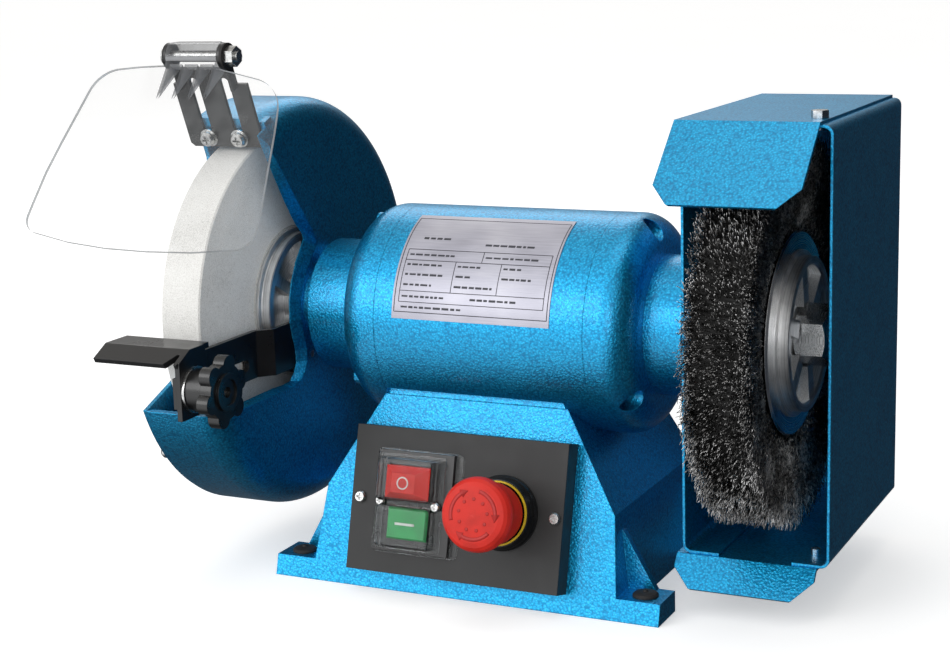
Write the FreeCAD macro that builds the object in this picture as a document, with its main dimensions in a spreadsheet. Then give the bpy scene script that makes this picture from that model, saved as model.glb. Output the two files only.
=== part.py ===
import FreeCAD, Part
import math
import os
import re
import Sketcher
from FreeCAD import Placement, Rotation, Vector

# Bench grinder with a grinding wheel on the left and a wire wheel brush on the right.
# Millimetres.  X runs along the shaft to the right, the operator stands at -Y, Z is up.
# The origin is the middle of the four foot holes, on the underside of the pedestal.

os.makedirs("parts", exist_ok=True)
doc = FreeCAD.newDocument("bench_grinder")

DIMENSIONS = {
    # shaft and motor
    "shaft_height": 144.0,
    "motor_radius": 60.0,
    "motor_bore": 54.0,
    "barrel_left": -53.0,
    "barrel_right": 70.0,
    "left_end": -78.0,
    "right_end": 95.0,
    "end_round": 16.0,
    "neck_radius": 38.0,
    "neck_left": -121.5,
    "neck_step": -107.5,
    "seat_left": -105.0,
    "neck_right": 116.0,
    "bearing_radius": 26.0,
    "bearing_width": 15.0,
    "journal_radius": 12.5,
    "spindle_radius": 10.0,
    "spindle_left": -185.5,
    "spindle_right": 184.0,
    # pedestal
    "pedestal_front": 73.3,
    "pedestal_height": 108.4,
    "pedestal_foot_half": 92.0,
    "pedestal_knee_half": 86.5,
    "pedestal_knee_height": 52.7,
    "pedestal_top_half": 52.5,
    "pedestal_wall": 6.0,
    "front_slope": 0.2704,
    "back_slope": 0.1,
    "foot_half": 115.3,
    "foot_thickness": 11.4,
    "foot_back": 47.5,
    "hole_across": 103.5,
    "hole_along": 60.0,
    "hole_radius": 4.5,
    # control panel, measured in its own tilted frame
    "panel_width": 126.4,
    "panel_length": 79.6,
    "panel_depth": 12.4,
    # wheel side
    "wheel_radius": 100.0,
    "wheel_left": -164.0,
    "wheel_right": -139.0,
    "wheel_bore": 16.0,
    "flange_radius": 41.0,
    "flange_right": -131.0,
    "guard_radius": 120.0,
    "guard_left": -170.0,
    "guard_inner": -126.5,
    "guard_right": -121.5,
    "guard_wall": 5.0,
    "opening_floor": 100.5,
    "cover_left": -172.5,
    # tool rest
    "rest_height": 140.5,
    "rest_left": -186.0,
    "rest_right": -131.0,
    "rest_front": -132.5,
    "rest_back": -102.5,
    "sheet": 3.0,
    "stud_along": -119.5,
    "stud_height": 118.0,
    # spark arrester and eye shield
    "arrester_width": 48.4,
    "arrester_centre": -153.8,
    "hinge_along": -62.3,
    "hinge_height": 291.7,
    "barrel_start": -171.5,
    "barrel_length": 33.1,
    "shield_centre": -157.5,
    # brush side
    "box_left": 116.0,
    "box_right": 195.0,
    "box_front": -37.0,
    "box_back": 110.0,
    "box_bottom": 29.5,
    "box_top": 257.0,
    "box_sheet": 1.5,
    "brush_radius": 104.0,
    "brush_middle": 153.5,
    "disc_radius": 54.0,
}

sheet = doc.addObject("Spreadsheet::Sheet", "Dims")
for row, (word, value) in enumerate(DIMENSIONS.items(), 1):
    sheet.set("A%d" % row, word)
    sheet.set("B%d" % row, str(value))
    sheet.setAlias("B%d" % row, word)
doc.recompute()


class Size:
    """A length that knows both its number and the spreadsheet expression it comes from."""

    def __init__(self, number, text):
        self.number = float(number)
        self.text = text

    def __add__(self, other):
        return Size(self.number + number_of(other), "(%s + %s)" % (self.text, text_of(other)))

    def __radd__(self, other):
        return Size(number_of(other) + self.number, "(%s + %s)" % (text_of(other), self.text))

    def __sub__(self, other):
        return Size(self.number - number_of(other), "(%s - %s)" % (self.text, text_of(other)))

    def __rsub__(self, other):
        return Size(number_of(other) - self.number, "(%s - %s)" % (text_of(other), self.text))

    def __mul__(self, other):
        return Size(self.number * number_of(other), "(%s * %s)" % (self.text, text_of(other)))

    def __rmul__(self, other):
        return Size(self.number * number_of(other), "(%s * %s)" % (self.text, text_of(other)))

    def __truediv__(self, other):
        return Size(self.number / number_of(other), "(%s / %s)" % (self.text, text_of(other)))

    def __neg__(self):
        return Size(-self.number, "(0 - %s)" % self.text)


def number_of(value):
    return value.number if isinstance(value, Size) else float(value)


def text_of(value):
    return value.text if isinstance(value, Size) else "%.5f" % float(value)


def size(word):
    return Size(DIMENSIONS[word], "Dims." + word)


def bind(thing, name, value):
    """Set a property, as an expression when the value comes from the sheet."""
    if isinstance(value, Size):
        thing.setExpression(name, value.text)
    else:
        setattr(thing, name, float(value))


def put(thing, x=0.0, y=0.0, z=0.0, turn=None):
    thing.Placement = Placement(Vector(number_of(x), number_of(y), number_of(z)), turn or Rotation())
    for axis, value in (("x", x), ("y", y), ("z", z)):
        if isinstance(value, Size):
            thing.setExpression("Placement.Base." + axis, value.text)
    return thing


ALONG_X = Rotation(Vector(0, 1, 0), 90)
ALONG_Y = Rotation(Vector(1, 0, 0), -90)
FRONT_VIEW = Rotation(Vector(1, 0, 0), 90)
SIDE_VIEW = Rotation(Vector(1, 1, 1), 120)
AXIS = size("shaft_height")


def cylinder(name, radius, length, x=0.0, y=0.0, z=0.0, turn=None):
    made = doc.addObject("Part::Cylinder", name)
    bind(made, "Radius", radius)
    bind(made, "Height", length)
    return put(made, x, y, z, turn)


def rod(name, start, end, radius, y=0.0, z=AXIS):
    """A cylinder along X from start to end."""
    return cylinder(name, radius, end - start, start, y, z, ALONG_X)


def cone(name, radius_low, radius_high, length, x=0.0, y=0.0, z=0.0, turn=None):
    made = doc.addObject("Part::Cone", name)
    bind(made, "Radius1", radius_low)
    bind(made, "Radius2", radius_high)
    bind(made, "Height", length)
    return put(made, x, y, z, turn)


def box(name, low, high, turn=None):
    """A box between two corners, or turned about its low corner."""
    made = doc.addObject("Part::Box", name)
    for word, a, b in zip(("Length", "Width", "Height"), low, high):
        bind(made, word, b - a)
    return put(made, low[0], low[1], low[2], turn)


def outline(name, points, turn, x=0.0, y=0.0, z=0.0):
    """A closed straight-sided sketch with every corner dimensioned from the sketch origin."""
    sketch = doc.addObject("Sketcher::SketchObject", name)
    put(sketch, x, y, z, turn)
    corners = [Vector(number_of(a), number_of(b), 0) for a, b in points]
    count = len(corners)
    for index in range(count):
        sketch.addGeometry(Part.LineSegment(corners[index], corners[(index + 1) % count]), False)
    for index in range(count):
        sketch.addConstraint(Sketcher.Constraint("Coincident", index, 2, (index + 1) % count, 1))
    for index, (a, b) in enumerate(points):
        for kind, value in (("DistanceX", a), ("DistanceY", b)):
            if abs(number_of(value)) < 1e-9:
                side = 2 if kind == "DistanceX" else 1
                sketch.addConstraint(Sketcher.Constraint("PointOnObject", index, 1, -side))
                continue
            place = sketch.addConstraint(Sketcher.Constraint(kind, -1, 1, index, 1, number_of(value)))
            if isinstance(value, Size):
                sketch.setExpression("Constraints[%d]" % place, value.text)
    return sketch


def extruded(name, sketch, forward, back=0.0):
    made = doc.addObject("Part::Extrusion", name)
    made.Base = sketch
    made.DirMode = "Normal"
    bind(made, "LengthFwd", forward)
    bind(made, "LengthRev", back)
    made.Solid = True
    return made


def turned(name, points, z=AXIS, y=0.0):
    """A solid of revolution about the X direction; points are (x, radius)."""
    sketch = outline(name + "_outline", points, FRONT_VIEW, 0.0, y, z)
    made = doc.addObject("Part::Revolution", name)
    made.Source = sketch
    made.Axis = Vector(1, 0, 0)
    made.Base = Vector(0, number_of(y), number_of(z))
    if isinstance(z, Size):
        made.setExpression("Base.z", z.text)
    made.Angle = 360
    made.Solid = True
    return made


def spun(name, points, x=0.0, y=0.0, z=0.0, turn=None):
    """A solid of revolution about the local Z direction; points are (radius, height)."""
    sketch = outline(name + "_outline", points, FRONT_VIEW)
    made = doc.addObject("Part::Revolution", name)
    made.Source = sketch
    made.Axis = Vector(0, 0, 1)
    made.Angle = 360
    made.Solid = True
    return put(made, x, y, z, turn)


def cut(name, base, tool):
    made = doc.addObject("Part::Cut", name)
    made.Base = base
    made.Tool = tool
    made.Refine = True
    return made


def fused(name, things):
    made = doc.addObject("Part::MultiFuse", name)
    made.Shapes = things
    made.Refine = True
    return made


def shared(name, things):
    made = doc.addObject("Part::MultiCommon", name)
    made.Shapes = things
    return made


def group(name, things):
    made = doc.addObject("Part::Compound", name)
    made.Links = things
    return made


def mirrored(name, source, normal):
    made = doc.addObject("Part::Mirroring", name)
    made.Source = source
    made.Normal = normal
    made.Base = Vector(0, 0, 0)
    return made


def linked(name, source, places):
    """Separate copies of one solid at several placements, kept as one group."""
    links = []
    for index, place in enumerate(places):
        link = doc.addObject("App::Link", "%s_%d" % (name, index + 1))
        link.LinkedObject = source
        link.LinkTransform = False
        link.Placement = place
        links.append(link)
    return group(name, links)


def rounded(name, source, radius, chosen):
    """Fillet the edges the test picks."""
    doc.recompute()
    made = doc.addObject("Part::Fillet", name)
    made.Base = source
    picked = [n for n, edge in enumerate(source.Shape.Edges, 1) if chosen(edge)]
    made.Edges = [(n, radius, radius) for n in picked]
    return made


def middle(edge):
    return edge.valueAt((edge.FirstParameter + edge.LastParameter) / 2)


def hexagon(name, across_flats, length, x, y, z, turn):
    corner = across_flats / math.sqrt(3)
    points = [(corner * math.cos(math.radians(a)), corner * math.sin(math.radians(a))) for a in range(0, 360, 60)]
    made = extruded(name, outline(name + "_outline", points, Rotation()), length)
    return put(made, x, y, z, turn)


def cross_screw(name, head_radius, head_height, shank_radius, shank_length):
    """A pan head screw standing on Z = 0 with its head above and a cross recess in the head."""
    shoulder = head_radius * 0.78
    profile = [
        (0, -shank_length),
        (shank_radius, -shank_length),
        (shank_radius, 0),
        (head_radius, 0),
        (head_radius, head_height * 0.55),
        (shoulder, head_height),
        (0, head_height),
    ]
    body = spun(name + "_body", profile)
    long_side = head_radius * 1.1
    short_side = head_radius * 0.26
    top = head_height + 0.5
    floor = head_height * 0.45
    slots = [
        box(name + "_slot_a", (-long_side / 2, -short_side / 2, floor), (long_side / 2, short_side / 2, top)),
        box(name + "_slot_b", (-short_side / 2, -long_side / 2, floor), (short_side / 2, long_side / 2, top)),
    ]
    return cut(name, body, fused(name + "_recess", slots))


def hex_bolt(name, across_flats, head_height, shank_radius, shank_length):
    head = hexagon(name + "_head", across_flats, head_height, 0, 0, 0, None)
    shank = cylinder(name + "_shank", shank_radius, shank_length, 0, 0, -shank_length)
    return fused(name, [head, shank])


nodes = {}


def node(name, thing):
    nodes[name] = thing
    return thing


# ---------------------------------------------------------------- pedestal
front = size("pedestal_front")
top = size("pedestal_height")
wall = size("pedestal_wall")
slope = size("front_slope")
lean = size("back_slope")
foot_x = size("pedestal_foot_half")
knee_x = size("pedestal_knee_half")
knee_z = size("pedestal_knee_height")
top_x = size("pedestal_top_half")
thick = size("foot_thickness")


def front_hexagon(name, inset, low, high, depth):
    drop = inset * 0.4
    points = [
        (inset - foot_x, low),
        (foot_x - inset, low),
        (knee_x - inset, knee_z - drop),
        (top_x - inset, high),
        (inset - top_x, high),
        (inset - knee_x, knee_z - drop),
    ]
    return extruded(name, outline(name + "_outline", points, FRONT_VIEW), depth, depth)


def side_wedge(name, inset, low, high, depth):
    points = [
        (slope * low - front + inset, low),
        (front - lean * low - inset, low),
        (front - lean * high - inset, high),
        (slope * high - front + inset, high),
    ]
    return extruded(name, outline(name + "_outline", points, SIDE_VIEW), depth, depth)


shell_outside = shared(
    "pedestal_outside",
    [front_hexagon("pedestal_front_view", 0, 0.0, top, 90.0), side_wedge("pedestal_side_view", 0, 0.0, top, 110.0)],
)
shell_inside = shared(
    "pedestal_inside",
    [
        front_hexagon("cavity_front_view", wall, -1.0, top - wall, 90.0),
        side_wedge("cavity_side_view", wall * 1.04, -1.0, top - wall, 110.0),
    ],
)
cavity = cut("pedestal_cavity", shell_inside, rod("saddle_body", -130.0, 130.0, size("motor_radius") + wall))
hollow = cut("pedestal_hollow", shell_outside, cavity)

foot_profile = [
    (-front, 0.0),
    (-size("foot_back"), 0.0),
    (-size("foot_back"), thick),
    (slope * thick - front, thick),
]
foot = extruded(
    "foot_pad", outline("foot_pad_outline", foot_profile, SIDE_VIEW, 84.0), size("foot_half") - 84.0
)
rib = extruded(
    "foot_rib",
    outline("foot_rib_outline", [(84.0, thick - 1.0), (107.0, thick - 1.0), (88.4, 43.0), (84.0, 43.0)], FRONT_VIEW, 0.0, -47.5),
    4.5,
)
corner = fused("foot_corner", [foot, rib])
corner_left = mirrored("foot_corner_left", corner, Vector(1, 0, 0))
corner_back = mirrored("foot_corner_back", corner, Vector(0, 1, 0))
corner_back_left = mirrored("foot_corner_back_left", corner_left, Vector(0, 1, 0))
casting = fused("pedestal_casting", [hollow, corner, corner_left, corner_back, corner_back_left])

hole_places = []
for side_x in (1, -1):
    for side_y in (-1, 1):
        hole_places.append((side_x * size("hole_across"), side_y * size("hole_along")))
cutters = [rod("saddle_bore", -130.0, 130.0, size("motor_radius"))]
for index, (hole_x, hole_y) in enumerate(hole_places, 1):
    cutters.append(cylinder("foot_hole_%d" % index, size("hole_radius"), 20.0, hole_x, hole_y, -2.0))
    cutters.append(cylinder("foot_recess_%d" % index, 6.0, 6.0, hole_x, hole_y, thick - 3.5))

TILT = math.degrees(math.atan(DIMENSIONS["front_slope"]))
PANEL_TURN = Rotation(Vector(1, 0, 0), 90 - TILT)
PANEL_ORIGIN = Vector(-0.6, -60.2, 48.7)
PANEL = Placement(PANEL_ORIGIN, PANEL_TURN)


def on_panel(thing, across=0.0, up=0.0, out=0.0):
    """Stand a piece on the tilted front plate: across, up the plate, and out from it."""
    thing.Placement = PANEL.multiply(Placement(Vector(across, up, out), Rotation()))
    return thing


def panel_box(name, low, high):
    made = doc.addObject("Part::Box", name)
    made.Length = high[0] - low[0]
    made.Width = high[1] - low[1]
    made.Height = high[2] - low[2]
    return on_panel(made, low[0], low[1], low[2])


cutters.append(panel_box("panel_window", (-50, -29, -20), (53, 29, 5)))
PANEL_SCREW_X = (-57.6, 58.6)
for index, spot_x in enumerate(PANEL_SCREW_X, 1):
    cutters.append(on_panel(cylinder("panel_tapping_%d" % index, 2.0, 20.0), spot_x, 0.0, -15.0))

BACK_TILT = math.degrees(math.atan(DIMENSIONS["back_slope"]))
GLAND = Placement(Vector(-45.0, 69.8, 35.0), Rotation(Vector(1, 0, 0), -90 + BACK_TILT))


def at_gland(thing, out):
    thing.Placement = GLAND.multiply(Placement(Vector(0, 0, out), Rotation()))
    return thing


cutters.append(at_gland(cylinder("gland_hole", 10.0, 20.0), -10.0))
node("pedestal", cut("pedestal", casting, fused("pedestal_cutters", cutters)))

plug = spun(
    "plug",
    [(0, -1.4), (3.4, -1.4), (5.2, -3.4), (6.0, -3.4), (6.0, 0), (6.9, 0), (6.9, 0.9), (5.9, 1.8), (3.6, 2.4), (1.6, 2.6),
     (1.1, 3.4), (0, 3.5)],
)
plug_places = [Placement(Vector(number_of(a), number_of(b), 11.4), Rotation()) for a, b in hole_places]
node("foot_plugs", linked("foot_plugs", plug, plug_places))

gland_body = spun(
    "gland_body",
    [(4.6, -14.0), (9.8, -14.0), (9.8, 0.0), (13.5, 0.0), (13.5, 6.0), (11.0, 7.0), (11.0, 16.0), (9.0, 19.0), (4.6, 19.0)],
)
at_gland(gland_body, 0.0)
gland_nut = cut(
    "gland_nut", at_gland(hexagon("gland_nut_hex", 26.0, 4.0, 0, 0, 0, None), -10.6), at_gland(cylinder("gland_nut_bore", 9.8, 8.0), -12.0)
)
node("cable_gland", group("cable_gland", [gland_body, gland_nut]))

# ---------------------------------------------------------------- control panel
half_w = size("panel_width") / 2
half_l = size("panel_length") / 2
deep = size("panel_depth")
plate = doc.addObject("Part::Box", "panel_plate")
bind(plate, "Length", size("panel_width"))
bind(plate, "Width", size("panel_length"))
bind(plate, "Height", deep)
on_panel(plate, -63.2, -39.8, 0.0)
SWITCH_X, SWITCH_W, SWITCH_L = -23.8, 22.8, 27.4
STOP_X = 28.6
SWITCH_SCREWS = ((-42.7, -0.5), (-9.2, -1.0))
panel_cuts = [
    panel_box("switch_window", (SWITCH_X - 21.0, -24.5, -1), (SWITCH_X + 21.0, 24.5, 20)),
    on_panel(cylinder("stop_window", 11.2, 30.0), STOP_X, 0.0, -5.0),
    on_panel(cylinder("panel_hole_left", 2.2, 30.0), -57.6, 0.0, -5.0),
    on_panel(cylinder("panel_hole_right", 2.2, 30.0), 58.6, 0.0, -5.0),
]
for index, (spot_x, spot_v) in enumerate(SWITCH_SCREWS, 1):
    panel_cuts.append(on_panel(cylinder("panel_switch_hole_%d" % index, 1.4, 30.0), spot_x, spot_v, -5.0))
node("control_panel", cut("control_panel", plate, fused("panel_cutters", panel_cuts)))

panel_screw = cross_screw("panel_screw", 3.3, 2.2, 2.0, 20.0)
DEEP = DIMENSIONS["panel_depth"]
node(
    "panel_screws",
    linked("panel_screws", panel_screw, [PANEL.multiply(Placement(Vector(a, 0.0, DEEP), Rotation())) for a in PANEL_SCREW_X]),
)

# switch body: a raised rim on the panel with two wells for the push buttons
STOP_SPOT, START_SPOT = (-25.4, 10.6), (-24.0, -11.6)
STOP_HALF, START_HALF = (13.9, 8.9), (12.1, 8.5)
switch_solid = fused(
    "switch_solid",
    [
        panel_box("switch_rim", (SWITCH_X - SWITCH_W, -SWITCH_L, DEEP), (SWITCH_X + SWITCH_W, SWITCH_L, DEEP + 3.4)),
        panel_box("switch_case", (SWITCH_X - 20.8, -24.3, -22.0), (SWITCH_X + 20.8, 24.3, DEEP)),
    ],
)
wells = []
for word, (spot_x, spot_v), (half_x, half_v) in (("stop", STOP_SPOT, STOP_HALF), ("start", START_SPOT, START_HALF)):
    wide, tall = half_x + 0.45, half_v + 0.4
    wells.append(panel_box(word + "_well", (spot_x - wide, spot_v - tall, 1.0), (spot_x + wide, spot_v + tall, 30.0)))
for index, (spot_x, spot_v) in enumerate(SWITCH_SCREWS, 1):
    wells.append(on_panel(cylinder("switch_tapping_%d" % index, 1.4, 30.0), spot_x, spot_v, DEEP - 8.0))
node("switch_body", cut("switch_body", switch_solid, fused("switch_wells", wells)))


def push_button(name, spot, half, shoulder, top, face):
    """A push button: straight sides up to the shoulder, then a tapered top; face is its range in x and v about the middle."""
    middle_x, middle_v = spot
    half_x, half_v = half
    left, right, low, high = face
    made = doc.addObject("Part::Wedge", name + "_cap")
    made.Xmin, made.Xmax, made.Zmin, made.Zmax = -half_x, half_x, -half_v, half_v
    made.Ymin, made.Ymax = 0.0, top - shoulder
    made.X2min, made.X2max = left, right
    made.Z2min, made.Z2max = -high, -low
    flip = Placement(Vector(middle_x, middle_v, DEEP + shoulder), Rotation(Vector(1, 0, 0), 90))
    made.Placement = PANEL.multiply(flip)
    stem = panel_box(
        name + "_stem", (middle_x - half_x, middle_v - half_v, DEEP - 4.0), (middle_x + half_x, middle_v + half_v, DEEP + shoulder)
    )
    return fused(name, [made, stem])


node("stop_button", push_button("stop_button", STOP_SPOT, STOP_HALF, 7.0, 12.0, (-8.2, 5.9, -5.5, 5.0)))
node("start_button", push_button("start_button", START_SPOT, START_HALF, 7.4, 9.0, (-11.1, 11.1, -7.5, 7.5)))


def dome(name, low, high):
    doc.recompute()
    made = panel_box(name, low, high)
    return rounded(name + "_round", made, 3.2, lambda edge: True)


# a sealing frame around the rim, then the clear cover with a dome over each button
gasket_solid = rounded("gasket_solid", panel_box("gasket_block", (-48.2, -28.4, DEEP + 0.02), (3.6, 28.4, DEEP + 1.2)), 3.0, lambda edge: edge.Length < 2.0)
node("switch_gasket", cut("switch_gasket", gasket_solid, panel_box("gasket_opening", (-46.8, -27.6, DEEP - 2.0), (-0.8, 27.6, DEEP + 4.0))))

cover_plate = panel_box("cover_plate", (-46.0, -25.8, DEEP + 3.5), (-5.6, 25.8, DEEP + 4.6))
BUMPS = (("high", -42.6, -8.6, 0.2, 24.2, 14.6), ("low", -43.0, -9.4, -25.0, -1.2, 11.2))
bump_out = []
bump_in = []
for word, low_x, high_x, low_v, high_v, tall in BUMPS:
    bump_out.append(dome("bump_%s" % word, (low_x, low_v, DEEP - 2.0), (high_x, high_v, DEEP + tall)))
    bump_in.append(
        panel_box(
            "bump_%s_inside" % word, (low_x + 1.2, low_v + 1.2, DEEP - 5.0), (high_x - 1.2, high_v - 1.2, DEEP + tall - 1.2)
        )
    )
cover_solid = fused("cover_solid", [cover_plate] + bump_out)
floor_trim = panel_box("cover_floor_trim", (-80, -60, -5), (60, 60, DEEP + 3.5))
screw_bosses = [on_panel(cylinder("cover_boss_%d_wall" % n, 3.3, 30.0), a, b, DEEP) for n, (a, b) in enumerate(SWITCH_SCREWS, 1)]
screw_wells = [on_panel(cylinder("cover_boss_%d_well" % n, 2.8, 30.0), a, b, DEEP + 4.6) for n, (a, b) in enumerate(SWITCH_SCREWS, 1)]
screw_wells += [on_panel(cylinder("cover_boss_%d_hole" % n, 1.5, 30.0), a, b, DEEP) for n, (a, b) in enumerate(SWITCH_SCREWS, 1)]
hollows = cut("cover_hollows", fused("cover_hollow_pair", bump_in), fused("cover_boss_walls", screw_bosses))
node("switch_cover", cut("switch_cover", cover_solid, fused("cover_cutaway", [hollows, floor_trim] + screw_wells)))

small_screw = cross_screw("small_screw", 2.7, 1.9, 1.4, 10.0)
node(
    "switch_screws",
    linked(
        "switch_screws",
        small_screw,
        [PANEL.multiply(Placement(Vector(a, b, DEEP + 4.6), Rotation())) for a, b in SWITCH_SCREWS],
    ),
)

# emergency stop: collar, yellow ring, stem, mushroom head and the contact block behind the panel
node(
    "estop_collar",
    on_panel(
        spun("estop_collar", [(11.2, -13.0), (11.2, 0.0), (20.2, 0.0), (20.2, 2.0), (19.4, 3.2), (19.2, 5.2), (17.8, 8.0),
                              (16.2, 8.0), (16.2, 4.4), (8.4, 4.4), (8.4, -13.0)]),
        STOP_X, 0.0, DEEP,
    ),
)
node(
    "estop_ring",
    on_panel(spun("estop_ring", [(16.3, 8.0), (17.3, 8.0), (17.0, 9.0), (16.3, 9.0)]), STOP_X, 0.0, DEEP),
)
node(
    "estop_stem",
    on_panel(spun("estop_stem", [(0, -14.0), (5.4, -14.0), (5.4, -8.0), (8.0, -8.0), (8.0, 9.9), (15.6, 9.9), (15.6, 16.0), (4.0, 16.0), (4.0, 30.0), (0, 30.0)]),
             STOP_X, 0.0, DEEP),
)
node(
    "estop_mushroom",
    on_panel(
        spun("estop_mushroom", [(4.05, 16.1), (15.9, 16.1), (15.9, 15.2), (16.8, 15.2), (16.9, 18.0), (17.0, 24.0), (17.4, 27.6), (19.2, 30.0),
                                (19.65, 31.6), (19.45, 33.8), (18.6, 35.8), (17.0, 37.2), (14.4, 38.0), (8.0, 38.3), (0, 38.4), (0, 30.1),
                                (4.05, 30.1)]),
        STOP_X, 0.0, DEEP,
    ),
)
block = panel_box("contact_block_body", (STOP_X - 15.0, -18.0, -38.0), (STOP_X + 15.0, 18.0, 0.0))
block_bore = on_panel(cylinder("contact_block_bore", 11.4, 30.0), STOP_X, 0.0, -16.0)
node("estop_contact_block", cut("estop_contact_block", block, block_bore))

# ---------------------------------------------------------------- motor
motor_r = size("motor_radius")
bore_r = size("motor_bore")
BOLT_R = 52.0
BOLT_ANGLES = (98.0, 218.0, 338.0)
NECK_R = 31.0
NECK_ANGLES = (0.0, 55.0, 305.0)
POCKET_AT = {"left_end_bell": -70.5, "right_end_bell": 74.0}


def around(radius, angle):
    """Y and Z of a point at this angle from the back, seen along the shaft."""
    spot = math.radians(angle)
    return radius * math.cos(spot), AXIS + radius * math.sin(spot)


tube = cut(
    "barrel_tube",
    rod("barrel_outside", size("barrel_left"), size("barrel_right"), motor_r),
    rod("barrel_inside", -90.0, 110.0, bore_r),
)
bosses = []
for index, angle in enumerate(BOLT_ANGLES, 1):
    across, high = around(BOLT_R, angle)
    bosses.append(rod("boss_right_%d" % index, 56.0, size("barrel_right"), 6.5, across, high))
    bosses.append(rod("boss_left_%d" % index, size("barrel_left"), -42.0, 6.5, across, high))
boss_ring = shared("boss_ring", [fused("boss_set", bosses), rod("boss_limit", -60.0, 80.0, motor_r - 1.0)])
barrel_solid = fused("barrel_solid", [tube, boss_ring])
tapped = []
for index, angle in enumerate(BOLT_ANGLES, 1):
    across, high = around(BOLT_R, angle)
    tapped.append(rod("tapped_%d" % index, -60.0, 80.0, 2.5, across, high))
# a flat on the barrel leaves the pedestal's top edge proud of it
ledge_points = [(-62.0, 88.0), (-49.5, 88.0), (-44.0, 108.4), (-62.0, 108.4)]
tapped.append(extruded("barrel_ledge", outline("barrel_ledge_outline", ledge_points, SIDE_VIEW, -54.0), 107.6))
node("motor_barrel", cut("motor_barrel", barrel_solid, fused("tapped_holes", tapped)))


def end_bell(name, seam, end, neck, side):
    """An end shield: rounded shoulder, end wall, bearing neck and three screw pockets."""
    out = 1.0 if side > 0 else -1.0
    bearing = size("bearing_radius")
    seat_end = size("seat_left") if side < 0 else neck - out * 8.0
    profile = [
        (seam, 45.0),
        (seam, motor_r),
        (end, motor_r),
        (end, size("neck_radius")),
    ]
    if side < 0:
        step = size("neck_step")
        profile += [(step, size("neck_radius")), (step, 20.0), (neck, 20.0)]
    else:
        profile += [(neck, size("neck_radius"))]
    profile += [
        (neck, 16.0),
        (seat_end, 16.0),
        (seat_end, bearing),
        (end - out * 7.0, bearing),
        (end - out * 7.0, 45.0),
    ]
    solid = turned(name + "_solid", profile)
    limit = number_of(end)

    def shoulder(edge):
        spot = middle(edge)
        far = math.hypot(spot.y, spot.z - DIMENSIONS["shaft_height"])
        return abs(spot.x - limit) < 0.1 and abs(far - DIMENSIONS["motor_radius"]) < 0.1

    shaped = rounded(name + "_shoulder", solid, DIMENSIONS["end_round"], shoulder)
    if side < 0:
        posts = [rod("%s_post_%d" % (name, n), neck, DIMENSIONS["neck_step"] + 1.0, 6.5, *around(NECK_R, a)) for n, a in enumerate(NECK_ANGLES, 1)]
        shaped = fused(name + "_with_posts", [shaped] + posts)
    pockets = []
    for index, angle in enumerate(BOLT_ANGLES, 1):
        across, high = around(BOLT_R, angle)
        start = POCKET_AT[name]
        low = min(start, start + out * 30.0)
        pockets.append(rod("%s_pocket_%d" % (name, index), low, low + 30.0, 5.7, *around(BOLT_R + 1.0, angle)))
        pockets.append(rod("%s_hole_%d" % (name, index), min(start, number_of(seam)) - 3.0, max(start, number_of(seam)) + 3.0, 2.6, across, high))
    for index, angle in enumerate(NECK_ANGLES, 1):
        low = min(number_of(neck) - out * 18.0, number_of(neck) + out)
        pockets.append(rod("%s_neck_hole_%d" % (name, index), low, low + 19.0, 2.5, *around(NECK_R, angle)))
    return cut(name, shaped, fused(name + "_pockets", pockets))


node("left_end_bell", end_bell("left_end_bell", size("barrel_left"), size("left_end"), size("neck_left"), -1))
node("right_end_bell", end_bell("right_end_bell", size("barrel_right"), size("right_end"), size("neck_right"), 1))



def bell_bolt(name, shank):
    """A socket head cap screw of this shank length."""
    return spun(name, [(0, -shank), (2.5, -shank), (2.5, 0), (4.4, 0), (4.4, 4.2), (4.0, 5.0), (2.2, 5.0), (2.2, 2.4), (0, 2.4)])


right_places, left_places = [], []
for angle in BOLT_ANGLES:
    across, high = around(BOLT_R, angle)
    spot_z = number_of(high)
    right_places.append(Placement(Vector(POCKET_AT["right_end_bell"], across, spot_z), ALONG_X))
    left_places.append(Placement(Vector(POCKET_AT["left_end_bell"], across, spot_z), Rotation(Vector(0, 1, 0), -90)))
node("bell_bolts", linked("bell_bolts", bell_bolt("bell_bolt", 16.0), right_places))
node("bell_bolts_long", linked("bell_bolts_long", bell_bolt("bell_bolt_long", 28.0), left_places))

node("stator_core", cut("stator_core", rod("stator_outside", -34.0, 50.0, bore_r), rod("stator_inside", -40.0, 60.0, 31.0)))
windings = []
for word, low, high in (("left", -47.0, -34.0), ("right", 50.0, 63.0)):
    ring = turned("winding_" + word, [(low, 33.0), (low + 3.0, 31.0), (high - 3.0, 31.0), (high, 33.0), (high, 41.0),
                                      (high - 3.0, 43.0), (low + 3.0, 43.0), (low, 41.0)])
    windings.append(ring)
node("stator_windings", group("stator_windings", windings))

label_solid = cut("label_ring", rod("label_outside", -41.5, 51.2, motor_r + 0.4), rod("label_inside", -45.0, 55.0, motor_r))
label_block = outline("label_block_outline", [(-90.0, 9.4), (-50.0, 6.3), (-17.5, 52.0), (-30.0, 90.0)], SIDE_VIEW, -41.5, 0.0, AXIS)
node("rating_plate", shared("rating_plate", [label_solid, extruded("label_block", label_block, 92.7)]))

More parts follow.
